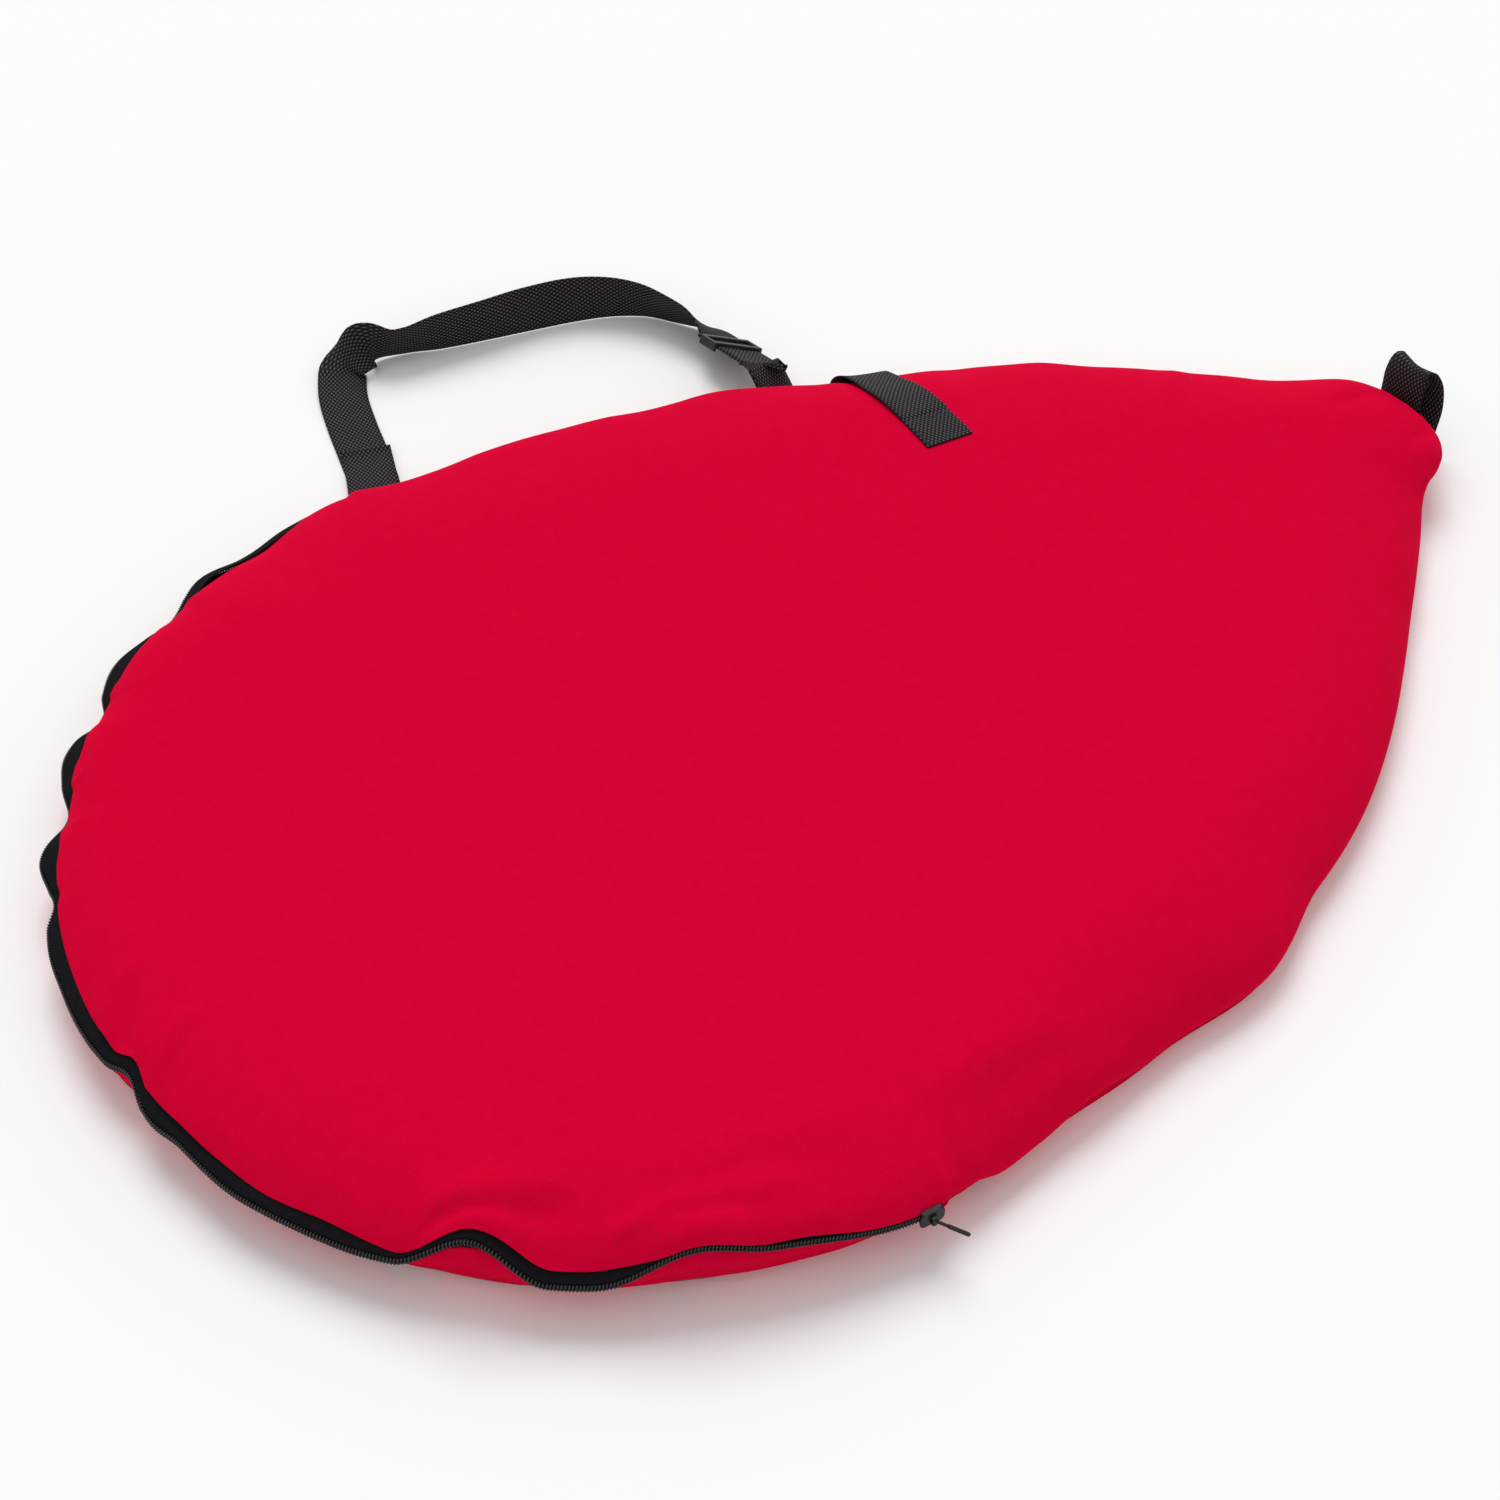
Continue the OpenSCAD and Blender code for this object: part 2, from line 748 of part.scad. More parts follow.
back_panel();
side_wall();
front_panel();
front_flap();
zip_tape_lower();
zip_coil_lower();
zip_tape_upper();
zip_coil_upper();
zip_ends();
zip_stops();
zip_slider();
zip_pull();
shoulder_strap();
strap_tail();
strap_anchor_round();
strap_anchor_tip();
strap_adjuster();
front_tab();
tip_loop();
net();
net_clips();
for (k = SETS) ring_tube(k);
for (k = SETS) ring_joint(k);
for (k = SETS) leg(k);
for (k = SETS) leg_foot(k);
for (k = BALLS) ball(k);
pump_barrel();
pump_cap();
pump_needle();
pump_rod();
pump_handle();
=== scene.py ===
# %% [markdown]
# The object is a roundnet set in its zipped carry bag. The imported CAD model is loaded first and
# stays where it is. Every piece below is modelled around it, in metres and in its frame: the
# origin is on the floor under the centre of the bag's round end, +X runs to the tip, +Y to the
# side with the shoulder strap, and +Z is up.

import json
import math

import bmesh
import bpy
from mathutils import Matrix, Vector, noise


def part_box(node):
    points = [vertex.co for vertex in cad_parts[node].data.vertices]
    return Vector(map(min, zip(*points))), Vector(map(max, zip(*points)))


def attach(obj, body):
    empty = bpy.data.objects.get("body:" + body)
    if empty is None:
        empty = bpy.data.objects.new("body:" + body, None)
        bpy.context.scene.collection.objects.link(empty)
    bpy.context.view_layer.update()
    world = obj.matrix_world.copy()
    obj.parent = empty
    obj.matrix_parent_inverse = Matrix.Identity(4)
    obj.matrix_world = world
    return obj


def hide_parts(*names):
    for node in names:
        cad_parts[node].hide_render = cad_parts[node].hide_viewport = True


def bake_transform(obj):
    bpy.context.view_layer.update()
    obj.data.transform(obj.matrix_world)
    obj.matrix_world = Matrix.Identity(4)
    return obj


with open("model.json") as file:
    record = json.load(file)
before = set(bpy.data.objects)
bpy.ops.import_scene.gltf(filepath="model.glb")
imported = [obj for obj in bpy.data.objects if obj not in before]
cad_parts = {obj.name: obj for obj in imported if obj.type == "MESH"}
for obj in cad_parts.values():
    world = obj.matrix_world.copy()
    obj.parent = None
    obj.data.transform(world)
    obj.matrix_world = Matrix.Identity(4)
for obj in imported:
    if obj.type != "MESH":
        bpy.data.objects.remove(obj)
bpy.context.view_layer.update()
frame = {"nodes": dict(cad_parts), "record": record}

# %% [markdown]
# The bag's outline is half a circle and two long arcs that leave it without a corner and run to a
# short blunt end. Its sizes come from the CAD boxes, so the cloth always fits the frame.

# %% Sizes of the bag
round_r = -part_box("side_wall")[0].x
tip_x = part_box("side_wall")[1].x
tip_trim = 0.018
wall_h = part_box("side_wall")[1].z
crown_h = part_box("front_panel")[1].z
shoulder_w = 0.11
side_r = ((tip_x + tip_trim) ** 2 + round_r**2) / (2 * round_r)
side_c = side_r - round_r
tip_half = math.sqrt(side_r**2 - tip_x**2) - side_c
round_len = round_r * math.pi / 2
side_len = side_r * math.asin(tip_x / side_r)
half_rim = round_len + side_len + tip_half
print(f"rim {2 * half_rim:.3f} m, side arcs of radius {side_r:.3f} m")


def rim(s):
    """Point and outward direction on the outline, s metres from the middle of the round end."""
    side = -1 if s > 0 else 1
    run = abs(s)
    if run <= round_len:
        a = run / round_r
        out = Vector((-math.cos(a), side * math.sin(a), 0))
        return out * round_r, out
    if run <= round_len + side_len:
        b = (run - round_len) / side_r
        out = Vector((math.sin(b), side * math.cos(b), 0))
        return out * side_r - Vector((0, side * side_c, 0)), out
    left = max(half_rim - run, 0)
    return Vector((tip_x, side * left, 0)), Vector((1, 0, 0))


def spine_point(point):
    """Where the inward line from a rim point meets the bag's middle line."""
    if point.x <= 0:
        return Vector((0, 0, 0))
    return Vector((point.x * side_c / (side_c + max(abs(point.y), tip_half)), 0, 0))


def soft_min(a, b, k):
    """The smaller of two values, with the corner between them rounded over k."""
    h = max(k - abs(a - b), 0) / k
    return min(a, b) - h * h * k / 4


def inset_at(x, y):
    """How far a point of the plan lies inside the outline."""
    if x <= 0:
        return round_r - math.hypot(x, y)
    near = side_r - math.hypot(x, abs(y) + side_c)
    far_side = side_r - math.hypot(x, abs(y) - side_c)
    return soft_min(soft_min(near, far_side, 0.02), tip_x - x, 0.03)


def dome(inset, width):
    """How far the front panel has risen, 0 to 1, at a distance inside the outline."""
    share = 1 - min(max(inset / width, 0), 1)
    return math.sqrt(1 - share**2)


# %% [markdown]
# The camera stands over the round end's near side and looks down the bag at 46 degrees. The light
# is a bright even world and one soft sun, so that a colour renders about as it is written. The
# floor and the sky are white to the camera, and the floor keeps the object's shadow.

# %% Camera
camera_data = bpy.data.cameras.new("camera")
camera = bpy.data.objects.new("camera", camera_data)
bpy.context.scene.collection.objects.link(camera)
camera_data.sensor_width = 36
camera_data.lens = 52.8
camera.location = (-0.629, -1.088, 1.38)
camera_aim = Vector((0.1305, 0.0095, 0.0))
camera.rotation_mode = "QUATERNION"
camera.rotation_quaternion = (camera_aim - camera.location).to_track_quat("-Z", "Y")
bpy.context.scene.camera = camera


# %% Node helpers
def fresh_material(name, colour, roughness, **sockets):
    """A material with a Principled BSDF, and its node tree."""
    material = bpy.data.materials.new(name)
    material.use_nodes = True
    shader = material.node_tree.nodes["Principled BSDF"]
    shader.inputs["Base Color"].default_value = (*colour, 1)
    shader.inputs["Roughness"].default_value = roughness
    for socket, value in sockets.items():
        shader.inputs[socket.replace("_", " ")].default_value = value
    return material


def add_node(tree, kind, **settings):
    """A node with some of its properties and inputs set."""
    node = tree.nodes.new(kind)
    for key, value in settings.items():
        if hasattr(node, key):
            setattr(node, key, value)
        else:
            node.inputs[key.replace("_", " ")].default_value = value
    return node


def calc(tree, operation, *values):
    """The result of a maths node on sockets and numbers."""
    node = add_node(tree, "ShaderNodeMath", operation=operation)
    for socket, value in zip(node.inputs, values):
        if isinstance(value, (int, float)):
            socket.default_value = value
        else:
            tree.links.new(value, socket)
    return node.outputs[0]


def srgb(red, green, blue):
    """A colour of 0 to 255 as the linear numbers that materials take."""
    return tuple(((c / 255 + 0.055) / 1.055) ** 2.4 if c > 10 else c / 255 / 12.92
                 for c in (red, green, blue))


# %% Object helper
def joined(name, bm, material, smooth=True):
    """An object from a bmesh, which is freed."""
    mesh = bpy.data.meshes.new(name)
    bm.to_mesh(mesh)
    bm.free()
    if smooth:
        mesh.shade_smooth()
    mesh.materials.append(material)
    obj = bpy.data.objects.new(name, mesh)
    bpy.context.scene.collection.objects.link(obj)
    print(f"{name}: {len(mesh.polygons)} faces")
    return obj


# %% Light and floor
scene = bpy.context.scene
scene.view_settings.view_transform = "Standard"
world = bpy.data.worlds.new("studio")
scene.world = world
world.use_nodes = True
sky = world.node_tree
for node in list(sky.nodes):
    sky.nodes.remove(node)
seen = sky.nodes.new("ShaderNodeLightPath")
seen_white = calc(sky, "MAXIMUM", seen.outputs["Is Camera Ray"], seen.outputs["Is Glossy Ray"])
seen_white = calc(sky, "MAXIMUM", seen_white, seen.outputs["Is Transmission Ray"])
soft_light = add_node(sky, "ShaderNodeBackground", Strength=0.62)
white_sky = add_node(sky, "ShaderNodeBackground", Strength=1.0)
for light in (soft_light, white_sky):
    light.inputs["Color"].default_value = (1, 1, 1, 1)
sky_mix = sky.nodes.new("ShaderNodeMixShader")
sky_out = sky.nodes.new("ShaderNodeOutputWorld")
sky.links.new(seen_white, sky_mix.inputs[0])
sky.links.new(soft_light.outputs[0], sky_mix.inputs[1])
sky.links.new(white_sky.outputs[0], sky_mix.inputs[2])
sky.links.new(sky_mix.outputs[0], sky_out.inputs["Surface"])

sun_data = bpy.data.lights.new("sun", "SUN")
sun_data.energy = 1.5
sun_data.angle = math.radians(35)
sun = bpy.data.objects.new("sun", sun_data)
scene.collection.objects.link(sun)
sun.rotation_euler = (math.radians(-32), math.radians(18), 0)

floor_white = fresh_material("floor_white", (0.97, 0.97, 0.97), 0.9, Specular_IOR_Level=0.0)
bm = bmesh.new()
bmesh.ops.create_grid(bm, x_segments=1, y_segments=1, size=12)
bmesh.ops.translate(bm, verts=bm.verts, vec=(0, 0, -0.0005))
floor = joined("floor", bm, floor_white, smooth=False)

# %% [markdown]
# The finishes come next. The cloth is a cotton twill, with its diagonal ribs 1.4 mm apart. The zip
# tape is finer and shares the cloth's weave group with its own pitch. Webbing has bold ribs with
# pale dots of thread, so it has a group of its own, and a wear group serves the mouldings.


# %% Weave group
def group_of(name, **inputs):
    """A shader node group that takes a vector and numbers, and gives a tint and a height."""
    tree = bpy.data.node_groups.new(name, "ShaderNodeTree")
    tree.interface.new_socket("Vector", in_out="INPUT", socket_type="NodeSocketVector")
    for label, value in inputs.items():
        socket = tree.interface.new_socket(label.replace("_", " "), in_out="INPUT",
                                           socket_type="NodeSocketFloat")
        socket.default_value = value
    for label in ("Tint", "Height"):
        tree.interface.new_socket(label, in_out="OUTPUT", socket_type="NodeSocketFloat")
    return tree, tree.nodes.new("NodeGroupInput"), tree.nodes.new("NodeGroupOutput")


def sine_ribs(tree, vector, pitch, along, across):
    """Ribs at a pitch, from 0 to 1, on a direction of the pattern's plane."""
    dot = add_node(tree, "ShaderNodeVectorMath", operation="DOT_PRODUCT")
    dot.inputs[1].default_value = (along, across, 0.35 * (along + across))
    tree.links.new(vector, dot.inputs[0])
    turns = calc(tree, "DIVIDE", dot.outputs["Value"], pitch)
    wave = calc(tree, "SINE", calc(tree, "MULTIPLY", turns, 2 * math.pi))
    return calc(tree, "MULTIPLY_ADD", wave, 0.5, 0.5)


weave, weave_in, weave_out = group_of("weave", Rib_Pitch=0.001, Thread_Pitch=0.0006, Slub_Size=60.0)
ribs = sine_ribs(weave, weave_in.outputs["Vector"], weave_in.outputs["Rib Pitch"], 0.72, 0.69)
threads = sine_ribs(weave, weave_in.outputs["Vector"], weave_in.outputs["Thread Pitch"], -0.69, 0.72)
slubs = add_node(weave, "ShaderNodeTexNoise", Detail=4.0, Roughness=0.6)
weave.links.new(weave_in.outputs["Vector"], slubs.inputs["Vector"])
weave.links.new(weave_in.outputs["Slub Size"], slubs.inputs["Scale"])
slubbed = calc(weave, "MULTIPLY", ribs, slubs.outputs["Fac"])
weave.links.new(slubbed, weave_out.inputs["Tint"])
weave.links.new(calc(weave, "MULTIPLY_ADD", threads, 0.35, ribs), weave_out.inputs["Height"])

# %% Webbing group
rib_period, thread_period = 0.0064, 0.0044


def sine_of(tree, value, period):
    """A sine wave of a socket, with a period in metres."""
    return calc(tree, "SINE", calc(tree, "MULTIPLY", value, 2 * math.pi / period))


ribbed, ribbed_in, ribbed_out = group_of("ribbed webbing")
split = ribbed.nodes.new("ShaderNodeSeparateXYZ")
ribbed.links.new(ribbed_in.outputs["Vector"], split.inputs[0])
checks = calc(ribbed, "MULTIPLY", sine_of(ribbed, split.outputs["X"], rib_period),
              sine_of(ribbed, split.outputs["Y"], thread_period))
raised = calc(ribbed, "MULTIPLY_ADD", checks, 0.5, 0.5)
ribbed.links.new(calc(ribbed, "POWER", raised, 4.0), ribbed_out.inputs["Tint"])
ribbed.links.new(raised, ribbed_out.inputs["Height"])


# %% Patterned materials
def patterned(material, group, source, colour, pale, strength, depth, **settings):
    """Tint a material between two colours and raise its surface, both by a pattern group."""
    tree = material.node_tree
    shader = tree.nodes["Principled BSDF"]
    place = tree.nodes.new("ShaderNodeTexCoord")
    pattern = tree.nodes.new("ShaderNodeGroup")
    pattern.node_tree = group
    for label, value in settings.items():
        pattern.inputs[label.replace("_", " ")].default_value = value
    tree.links.new(place.outputs[source], pattern.inputs["Vector"])
    tint = add_node(tree, "ShaderNodeMixRGB")
    tint.inputs[1].default_value = (*colour, 1)
    tint.inputs[2].default_value = (*pale, 1)
    tree.links.new(pattern.outputs["Tint"], tint.inputs[0])
    tree.links.new(tint.outputs[0], shader.inputs["Base Color"])
    bump = add_node(tree, "ShaderNodeBump", Strength=strength, Distance=depth)
    tree.links.new(pattern.outputs["Height"], bump.inputs["Height"])
    tree.links.new(bump.outputs[0], shader.inputs["Normal"])
    return pattern


def woven(name, colour, pale, rib_pitch, thread_pitch, slub_size, depth):
    """A cloth material: ribs and slubs shift its colour, and its weave stands up a little."""
    material = fresh_material(name, colour, 0.95, Specular_IOR_Level=0.02)
    patterned(material, weave, "Object", colour, pale, 0.5, depth,
              Rib_Pitch=rib_pitch, Thread_Pitch=thread_pitch, Slub_Size=slub_size)
    return material


# %% Cloth, webbing and tape
red_twill = woven("red_twill", srgb(206, 0, 46), srgb(232, 8, 66), 0.0014, 0.001, 90.0, 0.00022)
dark_rib, pale_dot = srgb(15, 13, 16), srgb(112, 107, 110)
black_webbing = fresh_material("black_webbing", dark_rib, 0.8, Specular_IOR_Level=0.12)
patterned(black_webbing, ribbed, "UV", dark_rib, pale_dot, 0.8, 0.0008)
zip_tape = woven("zip_tape", srgb(20, 19, 22), srgb(40, 39, 42), 0.0009, 0.0007, 300.0, 0.00012)


# %% Wear group and mouldings
wear, wear_in, wear_out = group_of("rubbed", Grain=400.0)
rub = add_node(wear, "ShaderNodeTexNoise", Detail=6.0, Roughness=0.7)
wear.links.new(wear_in.outputs["Vector"], rub.inputs["Vector"])
wear.links.new(wear_in.outputs["Grain"], rub.inputs["Scale"])
wear.links.new(rub.outputs["Fac"], wear_out.inputs["Tint"])
wear.links.new(rub.outputs["Fac"], wear_out.inputs["Height"])


def moulded(name, colour, rubbed, roughness, grain, depth, metallic=0.0):
    """A plastic, rubber or metal whose grain varies its colour and roughness a little."""
    material = fresh_material(name, colour, roughness, Metallic=metallic, Specular_IOR_Level=0.3)
    pattern = patterned(material, wear, "Object", colour, rubbed, 0.4, depth, Grain=grain)
    tree = material.node_tree
    shine = add_node(tree, "ShaderNodeMapRange")
    shine.inputs["To Min"].default_value = roughness - 0.08
    shine.inputs["To Max"].default_value = roughness + 0.08
    tree.links.new(pattern.outputs["Tint"], shine.inputs["Value"])
    tree.links.new(shine.outputs["Result"], tree.nodes["Principled BSDF"].inputs["Roughness"])
    return material


coil_plastic = moulded("coil_plastic", srgb(9, 9, 11), srgb(58, 58, 62), 0.5, 900.0, 0.00005)
slider_metal = moulded("slider_metal", srgb(5, 5, 7), srgb(22, 22, 26), 0.5, 500.0, 0.00003)
adjuster_plastic = moulded("adjuster_plastic", srgb(24, 24, 27), srgb(46, 47, 50), 0.4, 350.0, 0.00004)
tube_black = moulded("tube_black", srgb(28, 28, 30), srgb(42, 42, 45), 0.4, 120.0, 0.00004)
joint_grey = moulded("joint_grey", srgb(120, 122, 126), srgb(138, 140, 144), 0.5, 220.0, 0.00004)
foot_rubber = moulded("foot_rubber", srgb(58, 58, 61), srgb(78, 78, 82), 0.75, 260.0, 0.0001)
ball_rubber = moulded("ball_rubber", srgb(205, 30, 44), srgb(190, 24, 38), 0.6, 900.0, 0.0002)
net_cord = moulded("net_cord", srgb(205, 205, 208), srgb(180, 180, 184), 0.8, 1500.0, 0.0002)
steel = moulded("steel", (0.62, 0.62, 0.64), (0.5, 0.5, 0.52), 0.3, 700.0, 0.00002, metallic=1.0)

# %% Finish every CAD node
node_finish = {
    "bag_cloth": red_twill, "webbing": black_webbing, "zip_tape": zip_tape, "zip_coil": coil_plastic,
    "zip_slider": slider_metal, "adjuster": adjuster_plastic, "tube_black": tube_black,
    "joint_grey": joint_grey, "foot_rubber": foot_rubber, "net_cord": net_cord,
    "ball_rubber": ball_rubber, "steel": steel}
slot_of = {part["node"]: part["material_slot"] for part in frame["record"]["subparts"]}
for name, obj in frame["nodes"].items():
    obj.data.materials.clear()
    obj.data.materials.append(node_finish[slot_of[name]])
print("finished", len(frame["nodes"]), "CAD nodes")

# %% [markdown]
# Every cloth piece starts as a flat grid, which is then laid along the rim: one direction of the
# grid follows the outline, and the other goes across the piece. That keeps the rows of faces in
# line with the seams, where cloth puckers.


# %% Grid helper
def laid_grid(name, columns, rows, place, material, closed=False, thickness=None, offset=-1):
    """A flat grid, each of whose points place(u, v) puts in its place; u, v go from 0 to 1."""
    bm = bmesh.new()
    bm.loops.layers.uv.new("UVMap")
    bmesh.ops.create_grid(bm, x_segments=columns, y_segments=rows, size=0.5, calc_uvs=True)
    for vert in bm.verts:
        vert.co = place(vert.co.x + 0.5, vert.co.y + 0.5)
    if closed:
        bmesh.ops.remove_doubles(bm, verts=bm.verts, dist=1e-5)
    obj = joined(name, bm, material)
    if thickness:
        shell = obj.modifiers.new("thickness", "SOLIDIFY")
        shell.thickness = thickness
        shell.offset = offset
    return obj


def scale_uv(obj, length, width):
    """Write a grid's UV map in metres, so that a weave keeps its size."""
    for loop in obj.data.uv_layers[0].data:
        loop.uv = (loop.uv[0] * length, loop.uv[1] * width)


# %% [markdown]
# The zip is sewn to cloth that is a little longer than the tape, so the rim waves in and out and
# up and down between the places where the ring holds it. A wave is a smooth hump with a place,
# a half length and a size. One list of waves is shared by all that is sewn there: the panel's
# edge, both tapes, both rows of coil and the top of the side wall.

# %% Waves of the rim
zip_half = math.radians(87.5) * round_r
zip_near = zip_half - 0.014
zip_len = zip_half + zip_near


def bell(value, place, half):
    """A hump of height 1 that fades to 0 at a half length on each side of its place."""
    share = abs(value - place) / half
    return 0.5 + 0.5 * math.cos(math.pi * share) if share < 1 else 0.0


def ease(low, high, value):
    """0 below low, 1 above high, and a smooth step between them."""
    t = min(max((value - low) / (high - low), 0), 1)
    return t * t * (3 - 2 * t)


# Each wave: place along the rim, half length, how far out and how far up, all in metres.
zip_waves = [
    (-0.61, 0.04, -0.0015, -0.002), (-0.552, 0.042, 0.008, 0.001), (-0.496, 0.03, -0.0045, -0.001),
    (-0.428, 0.054, 0.0092, 0.001), (-0.364, 0.03, -0.0095, -0.001), (-0.316, 0.045, 0.0074, 0.001),
    (-0.25, 0.035, -0.0095, -0.001), (-0.2, 0.039, 0.0084, 0.001), (-0.152, 0.022, -0.0045, 0.001),
    (-0.1, 0.085, 0.0076, -0.001), (-0.025, 0.062, 0.005, 0.0), (0.04, 0.028, -0.006, 0.005),
    (0.085, 0.03, 0.0024, -0.0016), (0.18, 0.08, 0.0044, -0.002), (0.262, 0.075, 0.0028, -0.0026),
    (0.36, 0.058, -0.0135, 0.0225), (0.515, 0.065, -0.0065, 0.011), (0.565, 0.13, -0.0085, 0.014)]
# On the near side beyond the zip the panel leans in and out, place by place.
side_waves = [
    (0.86, 0.13, -0.0055), (1.055, 0.108, 0.017), (1.225, 0.21, 0.0085), (1.52, 0.17, -0.0062),
    (1.735, 0.08, 0.015)]


def bells(s, waves, part=2):
    """The sum of a list of humps at a place along the rim."""
    return sum(wave[part] * bell(s, *wave[:2]) for wave in waves)


def rim_sway(s):
    """How far the rim stands out and up at a place along it."""
    return bells(s, zip_waves), bells(s, zip_waves, 3)


def side_lean(s):
    """How far the sewn part of the bag stands out on the near side."""
    return bells(s, side_waves)


def zip_share(s):
    """1 along the zip, 0 where the panel is sewn straight to the wall."""
    end = zip_near if s > 0 else zip_half
    return 1 - ease(end - 0.004, end + 0.01, abs(s))


# %% [markdown]
# The section across the rim changes along it. Under the zip the wall stands about upright and
# tucks in at its foot. On the near side beyond the zip the panel rolls right over the edge, so
# that its seam lies low and a little inside the bulge. On the far side the wall has sunk to half
# its height, and the panel slopes down to it.

# %% Section of the rim
# Where the far seam lies higher or lower than its usual 26 mm: place, half length and height.
far_rises = [
    (-0.6, 0.1, 0.012), (-0.695, 0.085, 0.02), (-0.81, 0.05, -0.005), (-1.04, 0.05, -0.005),
    (-1.11, 0.05, 0.004), (-1.24, 0.11, -0.013), (-1.44, 0.1, 0.006)]

# Where the foot is tucked in more or less than its usual 22 mm: place, half length and depth.
foot_tucks = [
    (0.2, 0.14, 0.004), (0.54, 0.14, 0.004), (0.27, 0.07, 0.005), (0.46, 0.08, 0.005),
    (0.62, 0.1, 0.006), (-0.01, 0.09, -0.015), (-0.16, 0.05, -0.026)]


def low_share(s):
    """1 where the panel rolls down to a low seam, 0 where the seam is at the wall's full height."""
    return ease(zip_near, zip_near + 0.03, s) * (1 - ease(1.65, 1.725, s))


def far_share(s):
    """1 on the far side, where the wall has sunk."""
    return ease(0.5, 0.6, -s) * (1 - ease(1.66, 1.77, -s))


def seam_height(s):
    """Height of the seam between the panel and the wall."""
    low = 0.006 + 0.011 * bell(s, 0.738, 0.032) + 0.008 * bell(s, 0.865, 0.06)
    far = 0.026 + bells(s, far_rises)
    return wall_h + (low - wall_h) * low_share(s) + (far - wall_h) * far_share(s)


def foot_inset(s):
    """How far the wall's foot lies inside the outline."""
    inset = 0.022 + bells(s, foot_tucks)
    inset -= 0.01 * ease(0.76, 0.92, s) * (1 - ease(1.6, 1.7, s))
    return inset * (1 - bell(abs(s), round_len + side_len, 0.045))


def ring_room(s, z):
    """How far in the wall may lie before it meets the ring, which is thicker at its joints."""
    return 0.0126 + 0.0026 * ease(0.345, 0.385, s) + 1.1 * max(0, 0.014 - z)


def wall_inset(s, z):
    """How far the wall lies inside the outline at a height; the ring holds its middle out."""
    return min(foot_inset(s) * max(0, 1 - z / 0.036), ring_room(s, z) - 0.0002)


def covered(s):
    """1 where the panel's edge hides the zip tape and meets the coil."""
    return ease(0.455, 0.505, s) * (1 - 0.15 * bell(s, 0.6, 0.05))


def edge_inset(s):
    """How far inside the outline the panel's edge lies over the zip, which bares the tape."""
    bare = 0.0065 + 0.0022 * bell(s, 0.07, 0.1) - 0.0018 * bell(s, 0.2, 0.05)
    bare += 0.002 * bell(s, 0.395, 0.03) - 0.0042 * bell(s, 0.315, 0.07)
    return (bare + (0.0005 - bare) * covered(s)) * zip_share(s)


# %% [markdown]
# The front of the bag is one panel of cloth over the whole set. Its wrinkles are of three kinds:
# folds that have a place, small puckers along the sewn edge, and the slow rise and fall of cloth
# that lies on loose things. It is one mesh.

# %% Folds of the panel
# Each fold: from and to on the plan, its half width and its height, all in metres.
panel_folds = [
    ((-0.458, -0.026), (-0.428, 0.024), 0.0065, -0.003),
    ((-0.47, -0.012), (-0.441, 0.03), 0.0055, 0.0024),
    ((-0.446, -0.06), (-0.405, -0.035), 0.008, 0.0018),
    ((-0.352, -0.29), (-0.312, -0.311), 0.008, -0.0034),
    ((-0.312, -0.311), (-0.258, -0.338), 0.009, -0.003),
    ((-0.338, -0.276), (-0.262, -0.315), 0.013, 0.003),
    ((-0.25, -0.37), (-0.188, -0.389), 0.009, 0.0034),
    ((-0.188, -0.389), (-0.12, -0.409), 0.01, 0.0028),
    ((-0.225, -0.379), (-0.16, -0.405), 0.0065, -0.003),
    ((-0.205, -0.34), (-0.06, -0.388), 0.018, 0.0024), ((0.0, -0.4), (0.11, -0.405), 0.013, 0.0024),
    ((0.03, -0.425), (0.12, -0.428), 0.007, -0.002), ((0.42, 0.26), (0.47, 0.35), 0.016, 0.0026),
    ((0.52, 0.22), (0.56, 0.305), 0.014, 0.0022), ((0.69, 0.11), (0.76, 0.165), 0.012, 0.002),
    ((0.82, 0.01), (0.88, 0.01), 0.01, -0.0018), ((0.835, -0.06), (0.88, -0.045), 0.008, -0.0024)]


def fold_height(x, y):
    """Height of all the folds together at a point of the plan."""
    height = 0.0
    for (ax, ay), (bx, by), width, tall in panel_folds:
        run_x, run_y = bx - ax, by - ay
        length = math.hypot(run_x, run_y)
        along = ((x - ax) * run_x + (y - ay) * run_y) / length
        if -3 * width < along < length + 3 * width:
            across = ((x - ax) * run_y - (y - ay) * run_x) / length
            past = max(-along, along - length, 0)
            near = math.exp(-(across**2 + past**2) / width**2)
            height += tall * near * ease(-2 * width, 2 * width, min(along, length - along))
    return height


def cloth_height(s, x, y, inset, away):
    """Height of the front cloth inward of place s; away fades from 1 to 0 at the middle line."""
    low = wall_h + (seam_height(s) - wall_h) * away
    z = low + (crown_h - low) * dome(inset, shoulder_w + 0.05 * far_share(s) * away)
    dent = inset / 0.028
    z -= 0.005 * bell(x, 0.535, 0.13) * ease(0, 0.02, y) * dent**2 * math.exp(2 - 2 * dent)
    slow = noise.noise(Vector((x * 4, y * 4, 1.5))) + 0.4 * noise.noise(Vector((x * 11, y * 11, 6)))
    return z + 1.5 * fold_height(x, y) + 0.0022 * slow * ease(0.015, 0.1, inset)


def edge_pucker(s, deep):
    """Small puckers that run in from the sewn edge, at a depth inside it."""
    near = math.exp(-deep / 0.03) * ease(0, 0.006, deep + 0.002)
    return 0.003 * near * noise.noise(Vector((s * 19, deep * 7, 0.7)))


# %% Front cloth
panel_rows = 36
edge_droop = 0.0065
cloth_thick = 0.0016


